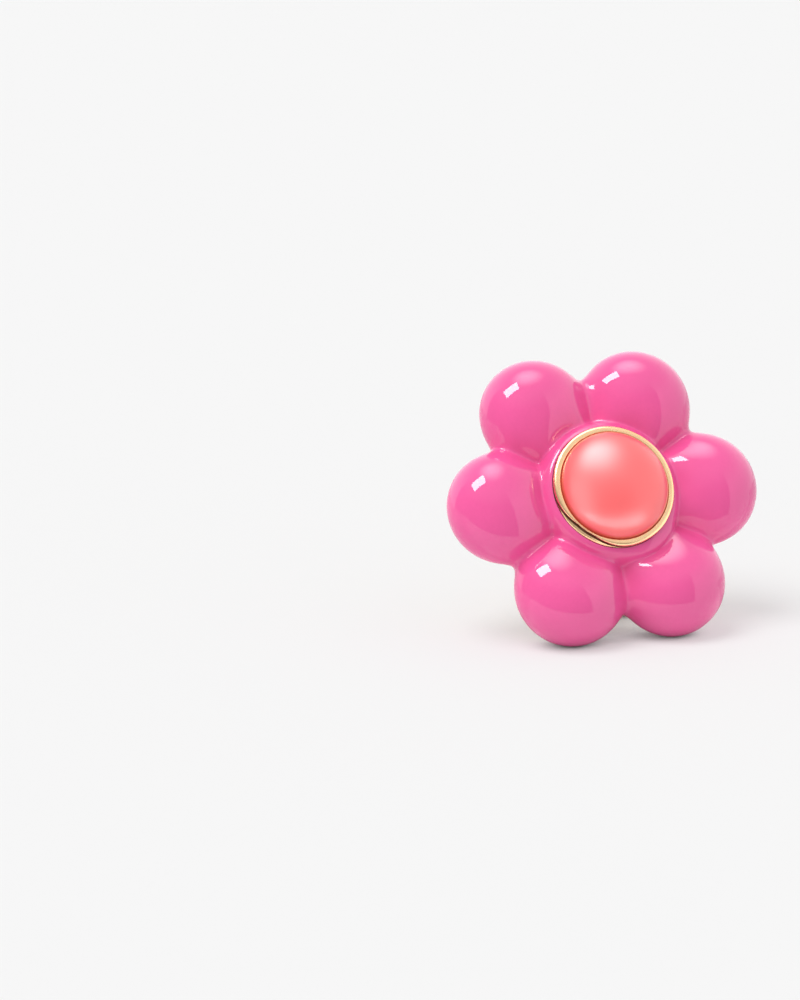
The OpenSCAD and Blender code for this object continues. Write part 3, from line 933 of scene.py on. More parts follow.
class EARRING_OT_plate(bpy.types.Operator):
    """Build the pierced plate, its bridges and the ribs round its holes"""
    bl_idname = "earring.plate"
    bl_label = "Pierced plate"

    SOFT_EDGE = 0.07 * MM
    LIFTED = 0.05 * MM
    SHARP_FROM = 50.0
    # the ribs, as shares of their radius: how far they keep from a hole's edge, and how
    # thick they are round the middle and the outer rosettes; then their heights
    RIB_AWAY = 0.6
    MIDDLE_RIB = (1.35, 0.02 * MM)
    LOBE_RIB = (1.0, 0.03 * MM)
    # the scalloped wire round the rosette in the middle: radius and depth, thickness
    SCALLOP = (2.60, 0.16)
    SCALLOP_RIB = 1.3

    def execute(self, context):
        back = context.scene.earring_back
        work = PiercedWork(back)
        holes = work.middle_drops + work.lobe_drops + work.small
        sheet = cut_sheet("pierced_plate", [work.edge()] + [hole[::-1] for hole in holes],
                          back.thick, self.SOFT_EDGE)
        sheet.transform(Matrix.Translation((0, 0, self.LIFTED)))
        shape = Shape()
        shape.take(sheet)
        finished(shape, "pierced_plate", "flower", ["cast_gold"], ["back_frame"],
                 self.SHARP_FROM)

        ribs = Shape()
        r = back.rib_r
        away = self.RIB_AWAY * r
        for holes, (thick, z) in ((work.middle_drops, self.MIDDLE_RIB),
                                  (work.lobe_drops, self.LOBE_RIB)):
            for hole in holes:
                ribs.rings(rib_rings(hole, away, thick * r, z), closed=True)
        t = full_turn(16 * work.DROPS)
        out, deep = self.SCALLOP
        scallop = (out + deep * abs(np.sin(work.DROPS / 2 * t))) * MM
        wire = on_axes(scallop * np.cos(t), scallop * np.sin(t))
        ribs.rings(rib_rings(wire, 0.0, self.SCALLOP_RIB * r, self.MIDDLE_RIB[1]), closed=True)
        finished(ribs, "plate_ribs", "flower", ["polished_gold"], ["back_frame"])
        return {"FINISHED"}


class EARRING_OT_bracket(bpy.types.Operator):
    """Build the strap, its two arms and the fixed tube of the hinge"""
    bl_idname = "earring.bracket"
    bl_label = "Hinge bracket"

    # the strap from its head on the plate to the tube: where its middle line is,
    # its half width and the half width of the opening between its two arms, in mm
    STRAP = (
        # along, out, half, opening
        (-3.70, -0.12, 1.55, 0.00),
        (-4.30, -0.12, 1.55, 0.00),
        (-5.10, -0.12, 1.55, 0.00),
        (-5.90, -0.16, 1.62, 0.00),
        (-6.48, -0.55, 1.42, 0.00),
        (-6.84, -1.15, 1.28, 0.00),
        (-7.12, -1.72, 1.45, 0.22),
        (-7.38, -2.26, 1.90, 0.78),
        (-7.60, -2.75, 1.55, 0.98),
        (-7.78, -3.20, 1.22, 0.84),
        (-7.88, -3.50, 1.16, 0.74),
    )
    STEPS = 6
    ACROSS = 8
    STRAP_THICK = 0.42 * MM
    STRAP_EDGE = 0.10 * MM
    # ribs along the edges and the opening, on the side that faces away from the plate:
    # radius, how far out as a share of the thickness, from which row, from what opening
    RIB_R = 0.13 * MM
    RIB_OUT = 0.4
    RIB_FROM = 18
    OPEN_FROM = 0.12 * MM
    RIB_SIDES = 12
    # the bar across the head
    BAR_R = 0.17 * MM
    BAR_HALF = 1.72 * MM
    BAR_OUT = 0.10 * MM
    BAR_SIDES = 16
    PIN_HOLE_R = 0.54 * MM
    TUBE_EDGE = 0.06 * MM
    # the tube's window: half its length and half its angle, then steps along and round
    # it, and steps round the rest
    WINDOW = (0.75 * MM, math.radians(25.0))
    WINDOW_STEPS = (7, 9, 57)

    def strap(self):
        """The bent strap that forks into two arms, with a rib along each edge."""
        rows = curved_path(np.array(self.STRAP) * MM, self.STEPS)
        y, z, half = rows[:, 0], rows[:, 1], rows[:, 2]
        opening = np.maximum(rows[:, 3], 0.0)
        count = self.ACROSS
        across = np.linspace(0.0, 1.0, count)
        corners = np.array([0, 1, count + 1, count])
        faces = [i * count + j + corners
                 for i in range(len(rows) - 1) for j in range(count - 1)]
        sheet = Shape()
        for side in (-1, 1):
            x = side * (opening[:, None] + (half - opening)[:, None] * across)
            level = (np.broadcast_to(line[:, None], x.shape) for line in (y, z))
            sheet.add(on_axes(x, *level), faces)
        strap = Shape()
        strap.take(thickened(sheet.mesh("strap"), "strap", self.STRAP_THICK, 0.0,
                             self.STRAP_EDGE, 3))
        ahead = np.gradient(rows[:, :2], axis=0)
        ahead = ahead / np.linalg.norm(ahead, axis=1)[:, None]
        outer_y = y + ahead[:, 1] * self.STRAP_THICK * self.RIB_OUT
        outer_z = z - abs(ahead[:, 0]) * self.STRAP_THICK * self.RIB_OUT
        first = int(np.argmax(opening > self.OPEN_FROM))
        arm = np.column_stack([opening + self.RIB_R, outer_y, outer_z])[first:]
        apex = [(0.0, outer_y[first - 1], outer_z[first - 1])]
        ribs = [np.column_stack([side * (half - self.RIB_R), outer_y, outer_z])[self.RIB_FROM:]
                for side in (-1, 1)]
        ribs.append(np.concatenate([arm[::-1] * [-1, 1, 1], apex, arm]))
        for rib in ribs:
            wire = round_ended(rib, self.RIB_R)
            strap.rings(tube_rings(*wire, self.RIB_SIDES), caps=True)
        along = np.linspace(-self.BAR_HALF, self.BAR_HALF, 12)
        level = (np.full(12, at) for at in (y[0], z[0] - self.BAR_OUT))
        bar = round_ended(np.column_stack([along, *level]), self.BAR_R)
        strap.rings(tube_rings(*bar, self.BAR_SIDES), caps=True)
        return strap

    def tube(self, radius, length_x):
        """The fixed tube round the pin, with its window, about the hinge's axis."""
        window_x, window_a = self.WINDOW
        along, across, rest = self.WINDOW_STEPS
        half = length_x / 2
        xs = np.concatenate([[-half], np.linspace(-window_x, window_x, along), [half]])
        plain = np.linspace(window_a, 2 * np.pi - window_a, rest)
        cut = np.linspace(-window_a, window_a, across)[1:-1]
        angles = np.concatenate([plain, cut])
        rings = np.array([on_axes(np.full(len(angles), x), radius * np.sin(angles),
                                  -radius * np.cos(angles)) for x in xs])
        faces = grid_faces(len(xs), len(angles), False)
        row, column = faces[:, 0] // len(angles), faces[:, 0] % len(angles)
        open_here = (column >= len(plain) - 1) & (row >= 1) & (row < len(xs) - 2)
        shape = Shape()
        shape.add(rings, faces[~open_here].tolist())
        return thickened(shape.mesh("tube"), "tube", radius - self.PIN_HOLE_R, -1.0,
                         self.TUBE_EDGE, 2)

    def execute(self, context):
        clip = context.scene.earring_clip
        shape = self.strap()
        tube = self.tube(clip.tube_r, clip.tube_len)
        tube.transform(Matrix.Translation(HINGE))
        shape.take(tube)
        finished(shape, "hinge_bracket", "flower", ["polished_gold"],
                 ["back_frame"])
        return {"FINISHED"}


class EARRING_OT_post(bpy.types.Operator):
    """Build the steel ear post and the bead of solder round its foot"""
    bl_idname = "earring.post"
    bl_label = "Ear post"

    # the post's foot goes into the plate, and its tip is rounded
    SUNK = 0.02 * MM
    TIP_ROUND = 0.24 * MM
    AROUND = 48
    # the bead of solder: radius, height, share by which it is longer across, then the
    # size of its lumps and how much of them its top has, and how far its foot is let in
    BEAD_R = 1.18 * MM
    BEAD_HIGH = 0.66 * MM
    BEAD_ACROSS = 1.12
    BEAD_RINGS = (16, 56)
    LUMPS = 0.13
    LUMPS_WIDE = 0.42 * MM
    LUMPS_ON_TOP = 0.3
    LET_IN = 0.08 * MM

    def post(self, end):
        """Rings of the post down to its tip at the height end."""
        r, tip = half_width("ear_post"), self.TIP_ROUND
        profile = [(0.0, -self.SUNK), (r, -self.SUNK)]
        profile += [(r, z) for z in np.linspace(-0.5 * MM, end + tip, 12)]
        profile += arc((r - tip, end + tip), tip, 0, -90, 7)[1:] + [(0.0, end)]
        return revolved(profile, self.AROUND)

    def bead(self):
        """Rings of a lumpy mound of solder that points down, from its top to its foot."""
        steps, around = self.BEAD_RINGS
        a = np.radians(np.linspace(89.0, 0.0, steps))
        rings = revolved(on_axes(self.BEAD_R * np.cos(a), -self.BEAD_HIGH * np.sin(a)), around)
        foot = np.linspace(0.0, 1.0, steps)[:, None, None]
        shown = self.LUMPS_ON_TOP + (1 - self.LUMPS_ON_TOP) * foot
        rings = rings * (1 + self.LUMPS * ripple(rings, self.LUMPS_WIDE, 0.7)[..., None] * shown)
        rings[..., 0] *= self.BEAD_ACROSS
        rings[-1, :, 2] = self.LET_IN
        return rings

    def execute(self, context):
        post = self.post(-context.scene.earring_clip.post_len)
        bead = self.bead()
        for rings in (post, bead):
            rings[..., 1] += POST_FROM_MIDDLE
        finished(Shape().rings(post), "ear_post_wire", "flower", ["drawn_steel"],
                 ["ear_post"])
        finished(Shape().rings(bead, caps=True), "post_solder", "flower",
                 ["cast_gold"], ["back_frame"])
        return {"FINISHED"}


class EARRING_OT_oval(bpy.types.Operator):
    """Build the small silver oval and the gold ring it is set in"""
    bl_idname = "earring.oval"
    bl_label = "Silver oval"

    FROM_MIDDLE = 3.55 * MM
    FLATNESS = 0.76
    TOP_Z = -0.02 * MM
    BACK_Z = -0.27 * MM
    # its worn edge as shares of its half width, with their heights
    EDGE = ((1.0, -0.02 * MM), (1.0, -0.18 * MM), (0.97, -0.23 * MM), (0.90, BACK_Z))
    HOLLOW = 0.03 * MM
    DENTS = 0.012 * MM
    DENTS_WIDE = 0.30 * MM
    # the gold ring round it: how far outside, and the radius of its wire
    RING_OUT = 0.05 * MM
    RING_R = 0.085 * MM

    def execute(self, context):
        x = half_width("oval_disc")
        y = self.FLATNESS * x
        profile = [(0.0, self.TOP_Z), *self.EDGE]
        profile += [(s, self.BACK_Z + self.HOLLOW * (1 - s)) for s in np.linspace(0.8, 0.0, 8)]
        rings = revolved(profile, 56) * [x, y, 1]
        rings[4:, :, 2] += self.DENTS * ripple(rings[4:], self.DENTS_WIDE, 1.5)
        rings[..., 1] += self.FROM_MIDDLE
        finished(Shape().rings(rings), "silver_oval", "flower",
                 ["scuffed_silver"], ["oval_disc"])
        line = ellipse(x + self.RING_OUT, y + self.RING_OUT, 64) + [0, self.FROM_MIDDLE]
        ring = rib_rings(line, 0.0, self.RING_R, self.TOP_Z)
        finished(Shape().rings(ring, closed=True), "oval_setting", "flower",
                 ["polished_gold"], ["back_frame"])
        return {"FINISHED"}


# Clip


class EARRING_OT_clip(bpy.types.Operator):
    """Build the wire loop and its two barrels, soldered together"""
    bl_idname = "earring.clip"
    bl_label = "Omega clip"

    END_GAP = 0.45 * MM
    END_PLAY = 0.10 * MM
    # the wire's sides, its steps round the loop and along a leg
    WIRE_SIDES = 32
    LOOP_STEPS = 91
    LEG_STEPS = 25
    # solder thickens the wire at the barrels: how much, how far, how lumpy, how wide
    SOLDER = 0.14 * MM
    SOLDER_REACH = 0.45 * MM
    SOLDER_LUMPS = 0.05 * MM
    SOLDER_WIDE = 0.5 * MM
    # the wire is pressed flatter near the hinge: by what share, where, how far
    PRESSED = 0.10
    PRESSED_AT = 2.8 * MM
    PRESSED_REACH = 1.2 * MM
    # a barrel: bore, inner face, cone, the pin's cup at its outer end and its edges
    BORE_R = 0.52 * MM
    INNER_R = 1.15 * MM
    INNER_FLAT = 0.08 * MM
    INNER_EDGE = 0.05 * MM
    CONE = 0.90 * MM
    CONE_ROUND = 1.5
    CUP_R = 1.25 * MM
    CUP_DEEP = 0.70 * MM
    CUP_EDGE = 0.10 * MM
    OUTER_EDGE = 0.16 * MM
    CUP_LIP = 0.07 * MM
    BARREL_SIDES = 72
    SIDE_HOLE_R = 0.18 * MM
    SIDE_HOLE_TO = 0.7

    def loop(self, clip):
        """Rings of the wire, two legs and a round bend, as if it lay flat."""
        arc_r = (clip.loop_w - clip.wire_d) / 2
        arc_c = clip.loop_len - arc_r
        leg_x = clip.leg_gap / 2
        start = math.atan2(arc_c, leg_x) - math.acos(arc_r / math.hypot(leg_x, arc_c))
        a = np.linspace(-start, math.pi + start, self.LOOP_STEPS)
        bend = on_axes(arc_r * np.cos(a), arc_c + arc_r * np.sin(a))
        leg = np.linspace(0.0, 1.0, self.LEG_STEPS)[:-1, None]
        right = (1 - leg) * [leg_x, 0.0] + leg * bend[0]
        flat = np.concatenate([right, bend, right[::-1] * [-1, 1]])
        path = np.column_stack([flat, np.zeros(len(flat))])
        y = flat[:, 1]
        joint = np.exp(-((y - clip.barrel_r) / self.SOLDER_REACH) ** 2)
        rings = tube_rings(path, clip.wire_d / 2 + self.SOLDER * joint, self.WIRE_SIDES)
        pressed = np.exp(-((y - self.PRESSED_AT) / self.PRESSED_REACH) ** 2)
        rings[..., 2] *= (1 - self.PRESSED * pressed)[:, None]
        lumps = ripple(rings, self.SOLDER_WIDE, 0.4) * joint[:, None]
        return rings + outward(rings) * (self.SOLDER_LUMPS * lumps)[..., None]

    def barrel(self, clip):
        """One barrel along X from its inner end at 0, with the hole in its side."""
        r, out = clip.barrel_r, clip.barrel_len
        soft, lip = self.OUTER_EDGE, self.CUP_LIP
        inner, edge = self.INNER_R, self.INNER_EDGE
        cup = out - self.CUP_DEEP
        profile = [(self.BORE_R, 0.0), (inner - self.INNER_FLAT, 0.0), (inner, edge)]
        t = np.linspace(0.0, 1.0, 9)[1:]
        swell = inner + (r - inner) * (1 - (1 - t) ** self.CONE_ROUND)
        profile += list(zip(swell, edge + (self.CONE - edge) * t))
        profile += [(r, z) for z in np.linspace(self.CONE, out - soft, 8)[1:]]
        profile += arc((r - soft, out - soft), soft, 0, 90, 6)[1:]
        profile += arc((self.CUP_R + lip, out - lip), lip, 90, 180, 4)
        profile += [(self.CUP_R, cup + self.CUP_EDGE), (self.CUP_R - self.CUP_EDGE, cup),
                    (self.BORE_R, cup)]
        whole = Shape().rings(revolved(profile, self.BARREL_SIDES, "X"), closed=True)
        hole = revolved([(self.SIDE_HOLE_R, -2 * r), (self.SIDE_HOLE_R, -self.SIDE_HOLE_TO * r)],
                        20)
        hole[..., 0] += out / 2
        cutter = add_object("side_hole", Shape().rings(hole, caps=True).mesh("side_hole"))
        barrel = modified(whole.mesh("barrel"), "barrel", (
            "BOOLEAN", {"object": cutter, "operation": "DIFFERENCE", "solver": "EXACT"},
        ))
        bpy.data.objects.remove(cutter)
        return barrel

    def execute(self, context):
        clip = context.scene.earring_clip
        # the closed loop leans in until its end nearly meets the plate
        end_off = clip.wire_d / 2 + self.END_GAP
        tilt = math.asin((-HINGE.z - end_off) / clip.loop_len)
        loop = self.loop(clip)
        c, s = math.cos(tilt), math.sin(tilt)
        y, z = loop[..., 1].copy(), loop[..., 2].copy()
        loop[..., 1], loop[..., 2] = y * c - z * s, y * s + z * c
        shape = Shape().rings(loop, caps=True)
        inner = clip.tube_len / 2 + self.END_PLAY
        for side in (1, -1):
            barrel = self.barrel(clip)
            barrel.transform(Matrix.Translation((inner, 0, 0)))
            barrel.transform(Matrix.Diagonal((side, 1, 1, 1)))
            shape.take(barrel)
        finished(shape, "omega_loop", "clip", ["polished_gold"], ["omega_clip"])
        return {"FINISHED"}


class EARRING_OT_pin(bpy.types.Operator):
    """Build the hinge pin with its two riveted heads"""
    bl_idname = "earring.pin"
    bl_label = "Hinge pin"

    PIN_R = 0.50 * MM
    HEAD_R = 0.85 * MM
    HEAD = 0.35 * MM
    HEAD_EDGE = 0.08 * MM
    AROUND = 40
    # how deep the hammer marks are, as a depth and as a share, and how wide
    MARKS = 0.07
    MARKS_WIDE = 0.28 * MM

    def execute(self, context):
        end = half_width("hinge_pin")
        under = end - self.HEAD
        rim = under + self.HEAD_EDGE
        a = np.radians(np.linspace(0.0, 90.0, 10))
        dome = on_axes(self.HEAD_R * np.cos(a), rim + (end - rim) * np.sin(a))
        half = [(self.PIN_R, 0.5 * under), (self.PIN_R, under), (self.HEAD_R, under)]
        half = np.concatenate([half, dome])
        half[-1, 0] = 0.0
        profile = np.concatenate([half[::-1] * [1, -1], half])
        rings = revolved(profile, self.AROUND, "X")
        head = np.clip((abs(rings[..., 0]) - rim) / (end - rim), 0, 1)
        hammered = ripple(rings, self.MARKS_WIDE, 2.2) * head
        rings[..., 0] -= np.sign(rings[..., 0]) * self.MARKS * MM * abs(hammered)
        rings[..., 1:] *= (1 + self.MARKS * hammered)[..., None]
        finished(Shape().rings(rings), "rivet_pin", "clip", ["polished_gold"],
                 ["hinge_pin"])
        return {"FINISHED"}


# Shaders


class Value:
    """A socket that takes part in sums. Each operator adds one Math node."""

    def __init__(self, nodes, socket):
        self.nodes = nodes
        self.socket = socket

    def _math(self, operation, first, second):
        return self.nodes.node("ShaderNodeMath", {"operation": operation},
                               {0: first, 1: second})

    def __add__(self, other):
        return self._math("ADD", self, other)

    __radd__ = __add__

    def __sub__(self, other):
        return self._math("SUBTRACT", self, other)

    def __rsub__(self, other):
        return self._math("SUBTRACT", other, self)

    def __mul__(self, other):
        return self._math("MULTIPLY", self, other)

    __rmul__ = __mul__

    def __truediv__(self, other):
        return self._math("DIVIDE", self, other)

    def __pow__(self, other):
        return self._math("POWER", self, other)


class Nodes:
    """The node tree of a material or of the world."""

    def __init__(self, owner):
        owner.use_nodes = True
        self.tree = owner.node_tree
        self.tree.nodes.clear()

    def node(self, kind, settings=None, sockets=None, output=0):
        """Adds a node: first its settings, then its sockets' values or links."""
        made = self.tree.nodes.new(kind)
        for key, value in (settings or {}).items():
            setattr(made, key, value)
        for key, value in (sockets or {}).items():
            if isinstance(value, Value):
                self.tree.links.new(value.socket, made.inputs[key])
            else:
                made.inputs[key].default_value = value
        return Value(self, made.outputs[output]) if made.outputs else None

    def position(self):
        """The point in the flower's own frame, in millimetres."""
        place = self.node("ShaderNodeMapping", {"vector_type": "TEXTURE"}, {
            "Vector": self.node("ShaderNodeTexCoord", output="Object"),
            "Location": STAND.translation, "Rotation": STAND.to_euler(),
        })
        return self.node("ShaderNodeVectorMath", {"operation": "SCALE"},
                         {0: place, "Scale": 1 / MM})

    def stretched(self, place, x, y, z):
        """The point with each axis scaled by its own factor."""
        return self.node("ShaderNodeVectorMath", {"operation": "MULTIPLY"},
                         {0: place, 1: (x, y, z)})

    def grain(self, place, size, detail=2.0, roughness=0.5):
        """Noise between 0 and 1 whose marks are about size millimetres wide."""
        return self.node("ShaderNodeTexNoise", {}, {
            "Vector": place, "Scale": 1 / size, "Detail": detail, "Roughness": roughness,
        })

    def between(self, value, low, high, to_low=0.0, to_high=1.0):
        """The value's stretch from low to high, laid out from to_low to to_high."""
        return self.node("ShaderNodeMapRange", {"clamp": True}, {
            "Value": value, "From Min": low, "From Max": high,
            "To Min": to_low, "To Max": to_high,
        })

    def clouds(self, place, size, detail):
        """Soft clouds between 0 and 1 about size millimetres wide."""
        return self.between(self.grain(place, size, detail), 0.3, 0.7)

    def mixed(self, share, first, second):
        """A colour between two colours."""
        return self.node("ShaderNodeMix", {"data_type": "RGBA"},
                         {0: share, 6: first, 7: second}, output=2)

    def raised(self, height, size, below=None):
        """A normal bent by a height between 0 and 1 that stands for size millimetres."""
        sockets = {"Height": height, "Distance": size * MM, "Strength": 1.0}
        if below is not None:
            sockets["Normal"] = below
        return self.node("ShaderNodeBump", {}, sockets)

    def surface(self, **sockets):
        """The Principled shader on the material's output, sockets named with _ for space."""
        named = {key.replace("_", " "): value for key, value in sockets.items()}
        shader = self.node("ShaderNodeBsdfPrincipled", {}, named)
        self.node("ShaderNodeOutputMaterial", {}, {"Surface": shader})

    def metal(self, **sockets):
        """The same shader as bare metal."""
        self.surface(Metallic=1.0, **sockets)


def tone(rgb, factor=1.0):
    """A colour with alpha, made lighter or darker by a factor."""
    return tuple(min(1.0, c * factor) for c in rgb) + (1.0,)


def enamel(n, base):
    """Glossy poured enamel: an even pink with faint pooling and orange peel."""
    place = n.position()
    pooled = n.between(n.grain(place, 6.0, 1.0), 0.35, 0.65)
    specks = n.between(n.grain(place, 0.35, 3.0), 0.30, 0.72)
    depth = n.mixed(pooled, tone(base, 0.97), tone(base, 1.03))
    peel = n.grain(place, 1.3, 1.0)
    fine = n.grain(place, 0.16, 2.0)
    n.surface(
        Base_Color=n.mixed(specks * 0.35, depth, tone(base, 0.95)),
        Roughness=n.between(specks, 0.0, 1.0, 0.012, 0.032),
        IOR=1.50,
        Normal=n.raised(fine, 0.00025, n.raised(peel, 0.0020)),
    )


def polished(n, base):
    """Polished plating with fine scratches and a slight bloom."""
    place = n.position()
    cloud = n.clouds(place, 2.2, 2.0)
    hair = n.grain(n.stretched(place, 1.0, 9.0, 9.0), 0.9, 4.0, 0.65)
    hair_across = n.grain(n.stretched(place, 8.0, 1.0, 6.0), 1.1, 4.0, 0.65)
    scratched = n.between(hair * hair_across, 0.28, 0.42)
    n.metal(
        Base_Color=n.mixed(cloud, tone(base, 0.95), tone(base, 1.0)),
        Roughness=n.between(scratched + cloud * 0.5, 0.0, 1.5, 0.10, 0.22),
        Normal=n.raised(hair, 0.0008, n.raised(n.grain(place, 0.9, 1.0), 0.004)),
    )


def grainy(n, base, clouds, shades, grit_wide, grit_high, roughness, wave_wide, wave_high):
    """Plating over metal that was rubbed or cast, clouded and slightly grainy."""
    place = n.position()
    cloud = n.clouds(place, *clouds)
    grit = n.grain(place, grit_wide, 3.0, 0.6)
    waves = n.raised(n.grain(place, wave_wide, 1.0), wave_high)
    n.metal(
        Base_Color=n.mixed(cloud, *(tone(base, shade) for shade in shades)),
        Roughness=n.between(grit + cloud, 0.6, 1.4, *roughness),
        Normal=n.raised(grit, grit_high, waves),
    )


def painted_shade_gold(n, base, shade):
    """Matte plating, its colour darkened far below the gold's as painted shade."""
    place = n.position()
    cloud = n.clouds(place, 1.1, 3.0)
    grit = n.grain(place, 0.14, 3.0, 0.6)
    dark = tone((0.100, 0.050, 0.016), shade)
    n.metal(
        Base_Color=n.mixed(cloud, dark, tone(base, 0.26 * shade)),
        Roughness=n.between(grit, 0.3, 0.7, 0.38, 0.55),
        Normal=n.raised(grit, 0.008),
    )


def satin(n, base):
    """Satin coral: fine even grain under a soft shine, faint clouding, and painted shade round
    its edge.
    """
    place = n.position()
    cloud = n.clouds(place, 3.0, 2.0)
    grain = n.grain(place, 0.09, 3.0, 0.6)
    # painted shade: the edge is darkened where it goes down into the setting
    flat = n.stretched(place, 1.0, 1.0, 0.0)
    from_middle = n.node("ShaderNodeVectorMath", {"operation": "LENGTH"}, {0: flat}, output=1)
    edge = half_width("coral_stone") / MM
    painted_edge_shade = n.between(from_middle, edge - 0.13, edge)
    body = n.mixed(cloud, tone(base, 0.96), tone(base, 1.03))
    n.surface(
        Base_Color=n.mixed(painted_edge_shade, body, (0.62, 0.045, 0.025, 1.0)),
        Roughness=n.between(grain, 0.3, 0.7, 0.34, 0.42),
        IOR=1.55,
        Coat_Weight=1.0,
        Coat_Roughness=0.34,
        Coat_IOR=1.55,
        Normal=n.raised(grain, 0.0012),
    )


def drawn(n, base):
    """Drawn steel wire with fine lines along it, darker towards the solder."""
    place = n.position()
    lines = n.grain(n.stretched(place, 9.0, 9.0, 0.35), 0.9, 4.0, 0.6)
    height = n.node("ShaderNodeSeparateXYZ", {}, {0: place}, output=2)
    darker_near_solder = n.between(height, -4.0, -0.6)
    clean = n.mixed(lines, tone(base, 1.0), tone(base, 1.35))
    n.metal(
        Base_Color=n.mixed(darker_near_solder * 0.7, clean, (0.30, 0.24, 0.21, 1.0)),
        Roughness=n.between(lines, 0.3, 0.7, 0.24, 0.38),
        Normal=n.raised(lines, 0.002),
    )


def scuffed(n, base):
    """Bare polished silver with a soft scuffed surface."""
    scuff = n.grain(n.position(), 0.25, 4.0, 0.65)
    n.metal(
        Base_Color=n.mixed(scuff, tone(base, 0.9), tone(base, 1.08)),
        Roughness=n.between(scuff, 0.3, 0.7, 0.16, 0.34),
        Normal=n.raised(scuff, 0.006),
    )


# name: what paints it, the colour it starts from, and that painter's further settings,
# which for grainy are clouds, shades, grit, roughness and waves
FINISHES = {
    "enamel": (enamel, "enamel"),
    "polished_gold": (polished, "gold"),
    "rubbed_gold": (grainy, "gold", (1.6, 2.0), (0.97, 1.00), 0.16, 0.0015, (0.20, 0.30),
                    0.9, 0.006),
    "cast_gold": (grainy, "gold", (1.4, 3.0), (0.86, 0.98), 0.11, 0.006, (0.20, 0.36),
                  0.8, 0.012),
    # these two are gold darkened as painted shade: the hollow inside and the scored line
    "dull_gold": (painted_shade_gold, "gold", 1.0),
    "scored_gold": (painted_shade_gold, "gold", 0.50),
    "satin_stone": (satin, "stone"),
    "drawn_steel": (drawn, "steel"),
    "scuffed_silver": (scuffed, "silver"),
}


def finish(name):
    """The material of a finish, painted when the first piece asks for it."""
    made = bpy.data.materials.get(name)
    if made is None:
        made = bpy.data.materials.new(name)
        paint, base, *settings = FINISHES[name]
        paint(Nodes(made), getattr(bpy.context.scene.earring_finishes, base), *settings)
    return made


# Stage


def camera_axes(studio):
    """Unit vectors to the right, up and back towards the camera."""
    a, e = -studio.azimuth, studio.elevation
    back = Vector((math.sin(a) * math.cos(e), -math.cos(a) * math.cos(e), math.sin(e)))
    right = Vector((math.cos(a), math.sin(a), 0.0))
    return right, back.cross(right), back


def only_mirrored(obj):
    """Hides an object from everything but the gloss of the pieces."""
    for kind in ("camera", "diffuse", "transmission", "volume_scatter", "shadow"):
        setattr(obj, "visible_" + kind, False)


def flat_card(name, half, near, far, z=0.0):
    """A flat rectangle, half its width to each side and from near to far along Y."""
    mesh = bpy.data.meshes.new(name)
    corners = [(-half, near, z), (half, near, z), (half, far, z), (-half, far, z)]
    mesh.from_pydata(corners, [], [(0, 1, 2, 3)])
    return add_object(name, mesh)


# how brightly the open floor lights the piece from below, against how it looks, how
# near the piece shades it, and how open the floor is where each is at its full
BOUNCE = 1.15
SHADED = 6.0 * MM
SEEN_OPEN = 0.28
BOUNCE_OPEN = (0.1, 0.9)
TOOTH = 0.997


def paper(name, brightness, shining):
    """Matte white paper with a faint tooth, darker close to the piece on it."""
    made = bpy.data.materials.get(name)
    if made:
        return made
    made = bpy.data.materials.new(name)
    n = Nodes(made)
    seen = n.node("ShaderNodeLightPath", output="Is Camera Ray")
    free = n.node("ShaderNodeAmbientOcclusion", {"samples": 8}, {"Distance": SHADED},
                  output=1)
    lit = n.between(free, 0.0, SEEN_OPEN) * seen
    glow = lit + n.between(free, *BOUNCE_OPEN) * BOUNCE * (1 - seen)
    tooth = n.grain(n.position(), 0.6, 2.0)
    level = n.between(tooth, 0.2, 0.8, brightness * TOOTH, brightness)
    n.surface(
        Base_Color=n.node("ShaderNodeCombineColor", {}, {0: level, 1: level, 2: level}),
        Emission_Color=n.node("ShaderNodeCombineColor", {}, {0: glow, 1: glow, 2: glow}),
        Emission_Strength=shining,
        Roughness=0.9,
        Specular_IOR_Level=0.0,
    )
    return made


# the room in the gloss: its white walls run from the front right round the back to the
# left, given as the direction of their middle, their reach and the softness of their ends
WALLS = (math.radians(43.5), math.radians(100.5), 0.015)
# how bright the rest of the room and the ceiling are, and how steeply up the ceiling
# starts and is complete
DIM = 0.44
CEILING = 0.95
CEILING_FROM = (0.50, 0.80)
# the glow overhead: its direction, where it begins, how it gathers and how bright it is
GLOW_TOWARDS = (0.05, 0.15, 0.987)
GLOW_BEGINS = 0.90
GLOW_GATHERS = 1.5
GLOW = 4.5
# the pale surroundings as they look, and a little more than 1, so that the direction
# straight up isn't divided by nothing
SURROUNDINGS = 0.915
OVER_ONE = 1.0001


def light_room(scene):
    """White walls behind and to the right, a dim room in front and to the left."""
    studio = scene.earring_studio
    world = scene.world or bpy.data.worlds.new("studio_room")
    scene.world = world
    n = Nodes(world)
    ray = n.node("ShaderNodeTexCoord", output="Generated")

    def towards(x, y, z):
        """How nearly a ray goes in a direction, 1 where it does."""
        return n.node("ShaderNodeVectorMath", {"operation": "DOT_PRODUCT"},
                      {0: ray, 1: (x, y, z)}, output=1)

    up = towards(0.0, 0.0, 1.0)
    level = n.node("ShaderNodeMath", {"operation": "SQRT"}, {0: OVER_ONE - up * up})
    middle, reach, soft = WALLS
    facing = towards(math.cos(middle), math.sin(middle), 0.0) / level
    walls = n.between(facing, math.cos(reach) - soft, math.cos(reach) + soft)
    above = n.between(up, *CEILING_FROM)
    room = (DIM + walls * (studio.room - DIM)) * (1 - above) + above * CEILING
    glow = n.between(towards(*GLOW_TOWARDS), GLOW_BEGINS, 1.0) ** GLOW_GATHERS
    lit = room + glow * GLOW
    seen = n.node("ShaderNodeLightPath", output="Is Camera Ray")
    mirrored = n.node("ShaderNodeLightPath", output="Is Glossy Ray")
    unseen = studio.ambient + mirrored * (lit - studio.ambient)
    strength = seen * SURROUNDINGS + (1 - seen) * unseen
    shader = n.node("ShaderNodeBackground", {}, {"Color": (1, 1, 1, 1), "Strength": strength})
    n.node("ShaderNodeOutputWorld", {}, {"Surface": shader})


